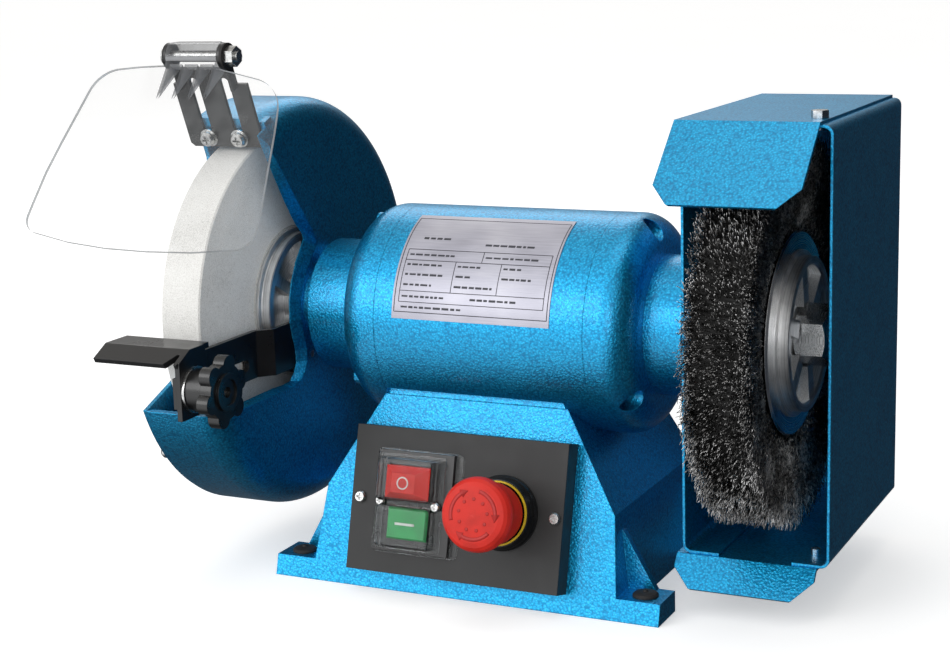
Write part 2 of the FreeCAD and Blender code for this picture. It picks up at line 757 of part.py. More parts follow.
# ---------------------------------------------------------------- shaft, rotor, bearings
journal = size("journal_radius")
spindle = size("spindle_radius")
node(
    "shaft",
    turned(
        "shaft",
        [(size("spindle_left"), 0.0), (size("spindle_left"), spindle - 1.2), (size("spindle_left") + 1.2, spindle), (-120.0, spindle), (-120.0, journal), (-70.0, journal), (-70.0, 15.0),
         (86.0, 15.0), (86.0, journal), (114.0, journal), (114.0, spindle), (size("spindle_right") - 1.2, spindle),
         (size("spindle_right"), spindle - 1.2), (size("spindle_right"), 0.0)],
    ),
)
node("rotor_core", cut("rotor_core", rod("rotor_outside", -36.0, 52.0, 30.2), rod("rotor_inside", -40.0, 60.0, 15.0)))
BEARING_LEFT, BEARING_RIGHT = -105.0, 93.0
outer_rings, inner_rings, balls = [], [], []
for word, start in (("left", BEARING_LEFT), ("right", BEARING_RIGHT)):
    stop = start + size("bearing_width")
    mid = number_of(start) + DIMENSIONS["bearing_width"] / 2
    outer_rings.append(cut("outer_ring_" + word, rod("outer_ring_out_" + word, start, stop, size("bearing_radius")), rod("outer_ring_in_" + word, start - 1.0, stop + 1.0, 22.4)))
    inner_rings.append(cut("inner_ring_" + word, rod("inner_ring_out_" + word, start, stop, 16.4), rod("inner_ring_in_" + word, start - 1.0, stop + 1.0, journal)))
    for index in range(9):
        ball = doc.addObject("Part::Sphere", "ball_%s_%d" % (word, index + 1))
        ball.Radius = 2.9
        across, high = around(19.4, index * 40.0)
        balls.append(put(ball, mid, across, high))
node("bearing_outer_rings", group("bearing_outer_rings", outer_rings))
node("bearing_inner_rings", group("bearing_inner_rings", inner_rings))
node("bearing_balls", group("bearing_balls", balls))

# ---------------------------------------------------------------- grinding wheel and its clamping
wheel_r = size("wheel_radius")
wheel_l = size("wheel_left")
wheel_e = size("wheel_right")
flange_r = size("flange_radius")


def spoked_recess(name, low, high, inner, outer, ribs, width, phase=0.0):
    """Pockets between radial ribs in the face of a clamping flange."""
    ring = cut(name + "_ring", rod(name + "_out", low, high, outer), rod(name + "_in", low - 1.0, high + 1.0, inner))
    bars = []
    for index in range(ribs // 2):
        bar = doc.addObject("Part::Box", "%s_bar_%d" % (name, index + 1))
        bar.Length = number_of(high - low) + 2.0
        bar.Width = width
        bar.Height = 120.0
        angle = phase + index * 360.0 / ribs
        turn = Rotation(Vector(1, 0, 0), angle)
        start = turn.multVec(Vector(0, -width / 2, -60.0))
        bars.append(put(bar, number_of(low) - 1.0, start.y, AXIS + start.z, turn))
    return cut(name, ring, fused(name + "_bars", bars))


node(
    "grinding_wheel",
    turned("grinding_wheel", [(wheel_l, size("wheel_bore")), (wheel_l, wheel_r - 0.8), (wheel_l + 0.8, wheel_r), (wheel_e - 0.8, wheel_r),
                              (wheel_e, wheel_r - 0.8), (wheel_e, size("wheel_bore"))]),
)
blotters = []
for word, low in (("left", wheel_l - 0.8), ("right", wheel_e)):
    blotters.append(cut("blotter_" + word, rod("blotter_out_" + word, low, low + 0.8, 44.5), rod("blotter_in_" + word, low - 1.0, low + 2.0, 16.4)))
node("wheel_blotters", group("wheel_blotters", blotters))
inner_start = wheel_e + 0.8
inner_solid = turned(
    "wheel_inner_flange_solid",
    [(wheel_l + 2.0, spindle), (wheel_l + 2.0, size("wheel_bore")), (inner_start, size("wheel_bore")), (inner_start, 43.0), (inner_start + 1.2, 43.0),
     (inner_start + 1.8, flange_r), (size("flange_right") - 0.6, flange_r), (size("flange_right"), flange_r - 0.6), (size("flange_right"), 14.5), (-120.0, 14.5), (-120.0, spindle)],
)
node(
    "wheel_inner_flange",
    cut("wheel_inner_flange", inner_solid, spoked_recess("inner_recess", size("flange_right") - 4.5, size("flange_right") + 2.0, 18.0, 36.5, 6, 7.0)),
)
outer_solid = turned(
    "wheel_outer_flange_solid",
    [(wheel_l - 0.8, spindle), (wheel_l - 0.8, 43.0), (wheel_l - 2.4, 43.0), (wheel_l - 3.0, flange_r), (wheel_l - 9.4, flange_r),
     (wheel_l - 10.0, flange_r - 0.6), (wheel_l - 10.0, spindle)],
)
node(
    "wheel_outer_flange",
    cut("wheel_outer_flange", outer_solid, spoked_recess("outer_recess", wheel_l - 12.0, wheel_l - 5.4, 18.0, 36.5, 6, 7.0)),
)


def chamfered_nut(name, flats, start, length, bore):
    solid = hexagon(name + "_hex", flats, number_of(length), start, 0.0, AXIS, ALONG_X)
    end = start + length
    corner = flats / math.sqrt(3)
    rim = turned(name + "_rim", [(start, bore), (start, flats / 2 - 0.4), (start + 1.6, corner), (end - 1.6, corner), (end, flats / 2 - 0.4), (end, bore)])
    return shared(name, [solid, rim])


node("wheel_nut", chamfered_nut("wheel_nut", 30.0, wheel_l - 20.0, 10.0, spindle))

# ---------------------------------------------------------------- wheel guard
guard_r = size("guard_radius")
guard_l = size("guard_left")
guard_i = size("guard_inner")
guard_o = size("guard_right")
drum_solid = turned("drum_solid", [(guard_l, 0.0), (guard_l, guard_r), (guard_o, guard_r), (guard_o, 0.0)])
drum_round = rounded(
    "drum_round", drum_solid, 16.0,
    lambda edge: abs(middle(edge).x - DIMENSIONS["guard_right"]) < 0.1
    and abs(math.hypot(middle(edge).y, middle(edge).z - 144.0) - 120.0) < 0.1,
)
hollow_solid = turned("hollow_solid", [(guard_l - 5.0, 0.0), (guard_l - 5.0, guard_r - size("guard_wall")), (guard_i, guard_r - size("guard_wall")), (guard_i, 0.0)])
hollow_round = rounded(
    "hollow_round", hollow_solid, 11.0,
    lambda edge: abs(middle(edge).x - DIMENSIONS["guard_inner"]) < 0.1
    and abs(math.hypot(middle(edge).y, middle(edge).z - 144.0) - 115.0) < 0.1,
)
drum = cut("drum", drum_round, hollow_round)

ARRESTER_ANGLE = 112.0
RADIAL = Placement(Vector(0, 0, DIMENSIONS["shaft_height"]), Rotation(Vector(1, 0, 0), ARRESTER_ANGLE - 90.0))
# in the radial frame: X along the shaft, Y away from the opening (backwards), Z out from the shaft


def radial_box(name, low, high):
    made = doc.addObject("Part::Box", name)
    made.Length = high[0] - low[0]
    made.Width = high[1] - low[1]
    made.Height = high[2] - low[2]
    made.Placement = RADIAL.multiply(Placement(Vector(*low), Rotation()))
    return made


seat_flange = radial_box("seat_flange", (-169.0, 0.5, 103.6), (-126.0, 8.0, 118.0))
COVER_ANGLES = (40.0, 100.0, 219.0, 290.0)
COVER_R = 115.2
cover_bosses = [rod("cover_boss_%d" % n, guard_l, guard_l + 12.0, 5.0, *around(113.6, a)) for n, a in enumerate(COVER_ANGLES, 1)]
drum_with_seat = fused("drum_with_seat", [drum, seat_flange] + cover_bosses)

OPEN_OUTER = [
    (-150.0, 100.5), (-48.0, 99.8), (-36.0, 99.6), (-26.0, 101.8), (-20.0, 106.4), (-17.2, 112.4), (-16.8, 119.6), (-19.4, 127.2), (-21.6, 138.0),
    (-20.8, 149.0), (-16.4, 158.8), (-12.0, 165.2), (-5.4, 172.8), (-0.9, 177.0), (-0.4, 180.2), (-3.2, 186.0), (-19.0, 205.6), (-43.5, 236.0),
    (-58.0, 262.0), (-150.0, 262.0),
]
OPEN_INNER = [
    (-150.0, 101.6), (-50.0, 102.8), (-40.0, 102.2), (-31.6, 102.4), (-26.2, 106.0), (-23.0, 111.6), (-23.2, 118.6), (-26.2, 126.6), (-28.6, 136.4),
    (-28.0, 149.6), (-24.8, 160.2), (-20.6, 168.0), (-13.6, 176.6), (-8.6, 182.6), (-9.4, 185.6), (-16.0, 192.0), (-27.0, 206.0), (-45.4, 236.2),
    (-60.0, 262.0), (-150.0, 262.0),
]
wall_opening = doc.addObject("Part::Loft", "wall_opening")
wall_opening.Sections = [
    outline("opening_inner", OPEN_INNER, SIDE_VIEW, guard_i - 0.5),
    outline("opening_outer", OPEN_OUTER, SIDE_VIEW, guard_o + 0.5),
]
wall_opening.Solid = True
wall_opening.Ruled = True
PLATE_TOP = [(112.0, 60.0), (112.0, 140.0)]
rim_points = [(-150.0, 100.5), (-30.0, 100.5), (-16.0, 144.0)]
for angle, radius in PLATE_TOP:
    spot = math.radians(angle)
    back = 1.05
    rim_points.append((radius * math.cos(spot) + back * math.sin(spot), 144.0 + radius * math.sin(spot) - back * math.cos(spot)))
rim_points.append((-150.0, 290.0))
rim_opening = extruded("rim_opening", outline("rim_opening_outline", rim_points, SIDE_VIEW, -180.0), guard_i + 180.2)
guard_holes = [rod("guard_bore", -135.0, -110.0, 16.0)]
for index, angle in enumerate(NECK_ANGLES, 1):
    guard_holes.append(rod("guard_hole_%d" % index, -135.0, -110.0, 2.6, *around(NECK_R, angle)))
ARM_SCREWS = ((-11.5, 115.0), (1.0, 115.0))
for index, (spot_y, spot_z) in enumerate(ARM_SCREWS, 1):
    guard_holes.append(rod("guard_arm_hole_%d" % index, -135.0, -110.0, 2.1, spot_y, spot_z))
for index, angle in enumerate(COVER_ANGLES, 1):
    guard_holes.append(rod("cover_tapping_%d" % index, -175.0, -161.0, 2.0, *around(COVER_R, angle)))
half = DIMENSIONS["arrester_width"] / 2
mid_x = DIMENSIONS["arrester_centre"]
SCREW_X = (mid_x - 10.2, mid_x + 10.2)
for index, slot_x in enumerate(SCREW_X, 1):
    seat_hole = cylinder("seat_hole_%d" % index, 2.0, 12.0)
    seat_hole.Placement = RADIAL.multiply(Placement(Vector(slot_x, 10.0, 109.0), Rotation(Vector(1, 0, 0), 90)))
    guard_holes.append(seat_hole)
guard_cutters = fused("guard_cutters", [rim_opening, wall_opening] + guard_holes)
node("wheel_guard", cut("wheel_guard", drum_with_seat, guard_cutters))

# side cover: pressed plate with a hub dome, open at the front like the guard
cover_l = size("cover_left")
cover_solid_side = turned(
    "side_cover_solid",
    [(guard_l, 119.0), (guard_l, 57.0), (-188.5, 53.0), (-191.0, 50.0), (-191.0, 0.0), (-193.5, 0.0), (-193.5, 51.0), (-190.4, 55.2), (cover_l, 59.2), (cover_l, 119.0)],
)
cover_opening = extruded(
    "cover_opening",
    outline("cover_opening_outline", [(-150.0, 85.0), (-111.0, 100.3), (-48.0, 125.0), (-30.0, 190.0), (-34.0, 232.4), (-46.4, 263.0), (-150.0, 263.0)], SIDE_VIEW, -200.0),
    40.0,
)
cover_keep = cut("cover_keep", cover_opening, rod("cover_hub_keep", -210.0, -150.0, 62.0))
cover_holes = [rod("cover_hole_%d" % n, -180.0, -165.0, 2.1, *around(COVER_R, a)) for n, a in enumerate(COVER_ANGLES, 1)]
node("guard_side_cover", cut("guard_side_cover", cover_solid_side, fused("cover_cutters", [cover_keep] + cover_holes)))
cover_screw = cross_screw("cover_screw", 4.0, 3.0, 2.0, 10.0)
node(
    "cover_screws",
    linked(
        "cover_screws", cover_screw,
        [
            Placement(
                Vector(DIMENSIONS["cover_left"], COVER_R * math.cos(math.radians(a)), 144.0 + COVER_R * math.sin(math.radians(a))),
                Rotation(Vector(0, 1, 0), -90),
            )
            for a in COVER_ANGLES
        ],
    ),
)
mount_screw = spun("mount_screw", [(0, -18.0), (2.5, -18.0), (2.5, 0), (4.2, 0), (4.2, 2.2), (3.4, 2.8), (0, 2.8)])
mount_places = []
for angle in NECK_ANGLES:
    across, high = around(NECK_R, angle)
    mount_places.append(Placement(Vector(-126.5, across, number_of(high)), Rotation(Vector(0, 1, 0), -90)))
    mount_places.append(Placement(Vector(117.5, across, number_of(high)), ALONG_X))
node("guard_mounting_screws", linked("guard_mounting_screws", mount_screw, mount_places))

# ---------------------------------------------------------------- tool rest
gauge = size("sheet")
rest_r = size("rest_right")
arm_right = rest_r - gauge - 0.05
arm_points = [
    (arm_right - gauge, -131.0),
    (arm_right, -131.0),
    (arm_right, -52.0),
    (-126.5, -44.5),
    (-126.5, 6.5),
    (-129.5, 6.5),
    (-129.5, -43.4),
    (arm_right - gauge, -51.0),
]
arm_blank = extruded("arm_blank", outline("arm_outline", arm_points, Rotation(), 0.0, 0.0, 109.0), 27.0)
arm_cuts = [
    box("arm_front_relief", (-145.0, -135.0, 126.0), (-125.0, -120.5, 140.0)),
    box("arm_slot", (-145.0, -126.0, size("stud_height") - 3.4), (-125.0, -64.0, size("stud_height") + 3.4)),
    rod("arm_slot_front", -145.0, -125.0, 3.4, -126.0, size("stud_height")),
    rod("arm_slot_back", -145.0, -125.0, 3.4, -64.0, size("stud_height")),
    box("arm_tail_relief", (-135.0, -22.0, 121.0), (-120.0, 10.0, 140.0)),
]
for index, (spot_y, spot_z) in enumerate(ARM_SCREWS, 1):
    arm_cuts.append(rod("arm_hole_%d" % index, -135.0, -120.0, 2.1, spot_y, spot_z))
node("tool_rest_arm", cut("tool_rest_arm", arm_blank, fused("arm_cutters", arm_cuts)))
arm_screw = spun("arm_screw", [(0, -8.0), (2.1, -8.0), (2.1, 0), (3.6, 0), (3.6, 0.9), (0, 0.9)])
node(
    "arm_screws",
    linked("arm_screws", arm_screw, [Placement(Vector(-129.5, a, b), Rotation(Vector(0, 1, 0), -90)) for a, b in ARM_SCREWS]),
)

rest_top = size("rest_height")
rest_l = size("rest_left")
rest_f = size("rest_front")
rest_b = size("rest_back")
fold_y = -122.0
table_points = [
    (rest_b, rest_top), (fold_y, rest_top), (fold_y - 11.8, rest_top - 6.2), (fold_y - 10.4, rest_top - 8.8), (fold_y + 0.7, rest_top - gauge),
    (rest_b, rest_top - gauge),
]
table_blank = extruded("rest_table", outline("rest_table_outline", table_points, SIDE_VIEW, rest_l), rest_r - 1.0 - rest_l)
table = rounded(
    "rest_table_round", table_blank, 2.4,
    lambda edge: edge.Length > 20.0 and abs(middle(edge).z - 140.5) < 0.01 and abs(middle(edge).y + 122.0) < 0.01,
)
bracket_points = [(rest_f, 103.0), (rest_b - 4.0, 103.0), (rest_b - 4.0, rest_top - 5.0), (rest_b - 6.5, rest_top), (fold_y, rest_top), (rest_f, rest_top - 5.6)]
bracket = extruded("rest_bracket", outline("rest_bracket_outline", bracket_points, SIDE_VIEW, rest_r - gauge), gauge)
rest_solid = fused("rest_solid", [table, bracket])
rest_cuts = [
    extruded(
        "rest_corner",
        outline("rest_corner_outline", [(rest_r - 13.4, -140.0), (rest_r - 4.4, -125.6), (rest_r - gauge, -125.6), (rest_r - gauge, -140.0)], Rotation(), 0.0, 0.0, rest_top - 12.0),
        9.6,
    ),
    rod("rest_stud_hole", -140.0, -125.0, 3.06, size("stud_along"), size("stud_height")),
]
node("tool_rest", cut("tool_rest", rest_solid, fused("rest_cutters", rest_cuts)))
stud_y = size("stud_along")
stud_z = size("stud_height")
node(
    "rest_stud",
    turned("rest_stud", [(-138.0, 0.0), (-138.0, 5.0), (-137.1, 5.0), (-137.1, 3.0), (-112.4, 3.0), (-112.4, 0.0)], stud_z, -119.5),
)
node(
    "rest_washer",
    cut("rest_washer", rod("rest_washer_out", -130.95, -129.35, 12.8, stud_y, stud_z), rod("rest_washer_in", -135.0, -125.0, 3.0, stud_y, stud_z)),
)
lobes = [rod("knob_hub", -129.3, -117.0, 12.0, stud_y, stud_z), rod("knob_front", -111.4, -109.0, 10.5, stud_y, stud_z)]
for index in range(6):
    spot = math.radians(15.0 + index * 60.0)
    lobes.append(rod("knob_lobe_%d" % (index + 1), -117.4, -110.6, 5.5, stud_y + 14.3 * math.cos(spot), stud_z + 14.3 * math.sin(spot)))
lobes.append(rod("knob_web", -117.4, -110.6, 15.4, stud_y, stud_z))
knob_cuts = [
    rod("knob_bore", -135.0, -100.0, 3.05, stud_y, stud_z),
    rod("knob_dish", -110.2, -100.0, 7.4, stud_y, stud_z),
]
node("star_knob", cut("star_knob", fused("knob_solid", lobes), fused("knob_cutters", knob_cuts)))

# ---------------------------------------------------------------- spark arrester
hinge = Vector(0, DIMENSIONS["hinge_along"], DIMENSIONS["hinge_height"])
hinge_local = RADIAL.inverse().multVec(hinge)
ear_l = -172.9
ear_r = mid_x + 17.4
plate_blank = fused(
    "arrester_blank",
    [
        radial_box("arrester_plate", (mid_x - half, -1.0, 103.0), (mid_x + half, 1.0, 142.6)),
        radial_box("arrester_neck", (ear_l, -1.0, 140.0), (ear_r, 1.0, 152.0)),
        radial_box("ear_left", (ear_l, -5.0, 140.0), (ear_l + 1.2, 1.0, 160.3)),
        radial_box("ear_right", (ear_r - 1.8, -5.0, 140.0), (ear_r, 1.0, 160.3)),
        rod("ear_left_round", ear_l, ear_l + 1.2, 7.4, size("hinge_along"), size("hinge_height")),
        rod("ear_right_round", ear_r - 1.8, ear_r, 7.4, size("hinge_along"), size("hinge_height")),
    ],
)
slot_cuts = [rod("hinge_hole", -200.0, -120.0, 3.05, size("hinge_along"), size("hinge_height"))]
for index, slot_x in enumerate(SCREW_X, 1):
    slot_cuts.append(radial_box("slot_%d" % index, (slot_x - 2.8, -5.0, 107.6), (slot_x + 2.8, 5.0, 143.4)))
    for word, reach in (("low", 107.6), ("high", 143.4)):
        end_hole = cylinder("slot_%s_%d" % (word, index), 2.8, 10.0)
        end_hole.Placement = RADIAL.multiply(Placement(Vector(slot_x, 5.0, reach), Rotation(Vector(1, 0, 0), 90)))
        slot_cuts.append(end_hole)
for index, (corner_x, turn) in enumerate(((mid_x - half, 45.0), (mid_x + half, 45.0)), 1):
    chip = radial_box("corner_%d" % index, (0, 0, 0), (6.0, 8.0, 6.0))
    chip.Placement = RADIAL.multiply(Placement(Vector(corner_x, -4.0, 103.0 - 6.2), Rotation(Vector(0, 1, 0), -45.0)))
    slot_cuts.append(chip)
node("spark_arrester", cut("spark_arrester", plate_blank, fused("arrester_cutters", slot_cuts)))

arrester_screw = cross_screw("arrester_screw", 4.6, 3.4, 2.0, 8.2)
toward_front = Rotation(Vector(1, 0, 0), 90)
screw_places = [RADIAL.multiply(Placement(Vector(a, -2.2, 109.0), toward_front)) for a in SCREW_X]
node("arrester_screws", linked("arrester_screws", arrester_screw, screw_places))
flat_washer = spun("flat_washer", [(2.0, 0), (5.4, 0), (5.4, 1.1), (2.0, 1.1)])
washer_places = [RADIAL.multiply(Placement(Vector(a, -1.05, 109.0), toward_front)) for a in SCREW_X]
node("arrester_washers", linked("arrester_washers", flat_washer, washer_places))

hinge_y = size("hinge_along")
hinge_z = size("hinge_height")
node(
    "hinge_bolt",
    turned(
        "hinge_bolt",
        [(ear_l - 4.4, 0.0), (ear_l - 4.4, 3.2), (ear_l - 3.8, 4.6), (ear_l - 1.0, 5.2), (ear_l - 1.0, 3.0), (ear_r + 8.4, 3.0), (ear_r + 8.4, 0.0)],
        hinge_z, DIMENSIONS["hinge_along"],
    ),
)
hinge_washers = []
for word, start, thick in (("left", ear_l - 1.0, 1.0), ("right", ear_r, 1.4)):
    hinge_washers.append(
        cut("hinge_washer_" + word, rod("hinge_washer_out_" + word, start, start + thick, 7.4, hinge_y, hinge_z), rod("hinge_washer_in_" + word, start - 1.0, start + 3.0, 3.0, hinge_y, hinge_z))
    )
node("hinge_washers", group("hinge_washers", hinge_washers))
nut_hex = hexagon("hinge_nut_hex", 10.0, 5.4, ear_r + 1.4, hinge_y, hinge_z, ALONG_X)
node("hinge_nut", cut("hinge_nut", nut_hex, rod("hinge_nut_bore", ear_r, ear_r + 12.0, 3.0, hinge_y, hinge_z)))

# ---------------------------------------------------------------- eye shield
SHIELD_TILT = 35.0
SHIELD = Placement(Vector(DIMENSIONS["shield_centre"], DIMENSIONS["hinge_along"], DIMENSIONS["hinge_height"]), Rotation(Vector(1, 0, 0), 90.0 - SHIELD_TILT))
# in the shield frame: X across, Y up towards the hinge (negative is down the shield), Z out to the front


def arc_points(centre_x, centre_y, radius, start, stop, count):
    points = []
    for index in range(count + 1):
        spot = math.radians(start + (stop - start) * index / count)
        points.append((centre_x + radius * math.cos(spot), centre_y + radius * math.sin(spot)))
    return points


PANE_FRONT = 4.0
pane_edge = [(-71.8, -94.0), (-70.2, -77.0), (-66.8, -59.0)]
pane_edge += arc_points(-41.5, -29.0, 18.2, 167.0, 99.0, 8)
pane_edge += [(-30.0, -9.5), (-15.3, -8.8), (8.0, -9.2), (24.0, -11.0)]
pane_edge += arc_points(43.0, -40.5, 24.5, 80.0, 6.0, 9)
pane_edge += [(69.2, -50.0), (72.2, -75.0), (75.0, -97.0)]
pane_edge += arc_points(65.2, -106.8, 10.6, 10.0, -82.0, 8)
pane_edge += [(40.0, -120.2), (11.4, -121.0), (-14.5, -120.4), (-40.0, -118.0)]
pane_edge += arc_points(-62.4, -103.4, 10.2, 258.0, 184.0, 7)
pane_sketch = outline("pane_outline", pane_edge, Rotation())
pane = extruded("pane", pane_sketch, 1.8)
pane.Placement = SHIELD.multiply(Placement(Vector(0, 0, PANE_FRONT - 0.9), Rotation()))
offset = DIMENSIONS["barrel_start"] - DIMENSIONS["shield_centre"]
hinge_tube = cylinder("hinge_tube", 7.6, DIMENSIONS["barrel_length"])
hinge_tube.Placement = SHIELD.multiply(Placement(Vector(offset + 0.05, 0, 0), ALONG_X))
ribs = []
for index in range(4):
    rib_x = -13.8 + index * 10.2
    rib_sketch = outline("rib_outline_%d" % (index + 1), [(-30.0, PANE_FRONT - 0.4), (-6.5, -6.2), (-3.0, -7.2), (0.0, -7.2), (0.0, PANE_FRONT + 0.8), (-30.0, PANE_FRONT + 0.8)], Rotation())
    fin = extruded("rib_%d" % (index + 1), rib_sketch, 1.7)
    fin.Placement = SHIELD.multiply(Placement(Vector(rib_x, 0, 0), Rotation(Vector(1, 1, 1), 120)))
    ribs.append(fin)
web = doc.addObject("Part::Box", "shield_web")
web.Length, web.Width, web.Height = 31.6, 9.8, 1.8
web.Placement = SHIELD.multiply(Placement(Vector(offset + 1.2, -9.8, PANE_FRONT - 0.9), Rotation()))
tube_bore = cylinder("tube_bore", 3.15, 60.0)
tube_bore.Placement = SHIELD.multiply(Placement(Vector(offset - 10.0, 0, 0), ALONG_X))
flat_lug = box("hinge_flat_lug", (-171.2, hinge_y - 1.0, hinge_z), (-143.6, hinge_y + 7.4, hinge_z + 7.6))
node("eye_shield", cut("eye_shield", fused("shield_solid", [pane, hinge_tube, flat_lug, web] + ribs), tube_bore))

# ---------------------------------------------------------------- brush guard box
box_l = size("box_left")
box_r = size("box_right")
box_f = size("box_front")
box_k = size("box_back")
box_b = size("box_bottom")
box_t = size("box_top")
skin = size("box_sheet")


def side_tray(name, face, inward):
    """A side panel with its top, bottom and back edges folded inwards."""
    far = face + inward * 20.0
    low, high = (face, far) if inward > 0 else (far, face)
    block_solid = box(name + "_block", (low, box_f, box_b), (high, box_k, box_t))
    limit = number_of(face)

    def on_face(edge):
        spot = middle(edge)
        return abs(spot.x - limit) < 0.01 and edge.Length > 50.0 and spot.y > DIMENSIONS["box_front"] + 1.0

    skin_round = rounded(name + "_skin", block_solid, 5.0, on_face)
    inner_face = face + inward * skin
    inner_far = face + inward * 30.0
    inner_low, inner_high = (inner_face, inner_far) if inward > 0 else (inner_far, inner_face)
    inside = box(name + "_inside", (inner_low, box_f - 5.0, box_b + skin), (inner_high, box_k - skin, box_t - skin))
    inner_limit = number_of(inner_face)

    def on_inner(edge):
        spot = middle(edge)
        return abs(spot.x - inner_limit) < 0.01 and edge.Length > 50.0 and spot.y > DIMENSIONS["box_front"] - 4.0

    inside_round = rounded(name + "_inside_round", inside, 3.5, on_inner)
    return cut(name + "_tray", skin_round, inside_round)


left_tray = side_tray("left", box_l, 1.0)
left_holes = [rod("left_shaft_hole", 100.0, 130.0, 16.0)]
for index, angle in enumerate(NECK_ANGLES, 1):
    left_holes.append(rod("left_panel_hole_%d" % index, 110.0, 130.0, 2.6, *around(NECK_R, angle)))
node("brush_guard_left_panel", cut("brush_guard_left_panel", left_tray, fused("left_panel_cutters", left_holes)))
right_holes = [cylinder("right_panel_hole_%d" % n, 2.5, 20.0, 183.0, -19.0, z) for n, z in ((1, 20.0), (2, 247.0))]
node("brush_guard_right_panel", cut("brush_guard_right_panel", side_tray("right", box_r, -1.0), fused("right_panel_cutters", right_holes)))

strip_l, strip_w = 113.2, 75.4
profile = [
    (-37.9, 29.5), (-50.6, 14.7), (-49.4, 13.7), (-37.2, 28.0), (111.5, 28.0), (111.5, 258.5), (-37.9, 258.5), (-79.0, 221.6),
    (-78.0, 220.5), (-37.3, 257.0), (110.0, 257.0), (110.0, 29.5),
]
strip_solid = extruded("strip_solid", outline("strip_outline", profile, SIDE_VIEW, strip_l), strip_w)
corner_cuts = []


def clipped_corner(name, side_x, inward, near, far, y):
    """Chamfer the outer corner of a folded flap; near and far are heights on its slope."""
    beyond = -inward * 3.0
    points = [(side_x + beyond, near), (side_x, near), (side_x + inward * 11.0, far), (side_x + inward * 11.0, far - 9.0), (side_x + beyond, far - 9.0)]
    return extruded(name, outline(name + "_outline", points, FRONT_VIEW, 0.0, y), 30.0)


for word, side_x, inward in (("left", strip_l, 1.0), ("right", strip_l + strip_w, -1.0)):
    corner_cuts.append(clipped_corner("visor_corner_" + word, side_x, inward, 229.6, 220.4, -55.0))
    corner_cuts.append(clipped_corner("lip_corner_" + word, side_x, inward, 23.4, 13.9, -38.5))
BOLT_SPOTS = ((183.0, -19.0, 258.5, Rotation()), (183.0, -19.0, 28.0, Rotation(Vector(1, 0, 0), 180)))
bolt_cuts = []
for index, (bx, by, bz, turn) in enumerate(BOLT_SPOTS, 1):
    bolt_cuts.append(cylinder("strip_hole_%d" % index, 2.6, 8.0, bx, by, bz - 4.0))
node("brush_guard_strip", cut("brush_guard_strip", strip_solid, fused("strip_cutters", corner_cuts + bolt_cuts)))
box_bolt = hex_bolt("box_bolt", 8.0, 4.0, 2.5, 6.0)
node("brush_guard_bolts", linked("brush_guard_bolts", box_bolt, [Placement(Vector(a, b, c), d) for a, b, c, d in BOLT_SPOTS]))

# ---------------------------------------------------------------- wire brush and its clamping
brush_m = size("brush_middle")
brush_r = size("brush_radius")
disc_r = size("disc_radius")
node(
    "wire_brush",
    turned("wire_brush", [(brush_m - 12.0, 24.0), (brush_m - 12.0, 55.0), (brush_m - 14.0, 64.0), (brush_m - 18.5, 88.0), (brush_m - 19.2, 97.0), (brush_m - 17.5, 101.4),
                          (brush_m - 10.0, brush_r - 0.6), (brush_m, brush_r), (brush_m + 10.0, brush_r - 0.6), (brush_m + 17.5, 101.4), (brush_m + 19.2, 97.0), (brush_m + 18.5, 88.0), (brush_m + 14.0, 64.0),
                          (brush_m + 12.0, 55.0), (brush_m + 12.0, 24.0)]),
)
discs = [
    turned("hub_disc_left", [(brush_m - 13.4, 16.0), (brush_m - 13.4, disc_r - 1.0), (brush_m - 12.0, disc_r), (brush_m - 12.0, 24.0), (brush_m, 24.0), (brush_m, 16.0)]),
    turned("hub_disc_right", [(brush_m, 16.0), (brush_m, 24.0), (brush_m + 12.0, 24.0), (brush_m + 12.0, disc_r), (brush_m + 13.4, disc_r - 1.0), (brush_m + 13.4, 16.0)]),
]
node("brush_hub_discs", group("brush_hub_discs", discs))
node(
    "brush_inner_flange",
    turned("brush_inner_flange", [(114.0, spindle), (114.0, 14.5), (121.5, 14.5), (121.5, 20.0), (129.5, 20.0), (129.5, 40.0), (brush_m - 13.4, 41.0), (brush_m - 13.4, 16.0), (brush_m, 16.0), (brush_m, spindle)]),
)
ring_start = brush_m + 13.4
ring_solid = turned(
    "brush_ring_solid",
    [(brush_m, spindle), (brush_m, 16.0), (ring_start, 16.0), (ring_start, 44.0), (ring_start + 1.0, 44.0), (ring_start + 1.4, flange_r),
     (ring_start + 6.6, flange_r), (ring_start + 7.1, flange_r - 0.5), (ring_start + 7.1, 37.0), (ring_start + 5.8, 36.0), (ring_start + 5.8, 17.6),
     (ring_start + 1.6, 17.6), (ring_start + 1.6, spindle)],
)
node(
    "brush_ring_flange",
    cut("brush_ring_flange", ring_solid, spoked_recess("ring_recess", ring_start + 1.2, ring_start + 12.0, 17.6, 36.0, 6, 9.0, 12.0)),
)
node("brush_nut", chamfered_nut("brush_nut", 29.0, ring_start + 1.6, 17.0, spindle))

# ---------------------------------------------------------------- recompute, check, write
doc.recompute()
for name, thing in nodes.items():
    thing.Label = name
doc.recompute()
problems = []
for thing in doc.Objects:
    if "Invalid" in thing.State or "Error" in thing.State:
        problems.append("%s state %s" % (thing.Name, thing.State))
for name, thing in nodes.items():
    shape = thing.Shape
    if shape.isNull() or not shape.isValid() or not shape.Solids:
        problems.append("%s has a bad shape" % name)
        continue
    shape.exportStep("parts/%s.step" % name)
    print("%-26s solids %2d volume %10.1f" % (name, len(shape.Solids), shape.Volume))
if problems:
    raise RuntimeError("; ".join(problems))
print("nodes", len(nodes))
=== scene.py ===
"""Bench grinder with a grinding wheel and a wire brush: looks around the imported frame, in metres."""
import math
import random

import bpy
import numpy as np
from mathutils import Matrix, Vector
from mathutils.bvhtree import BVHTree


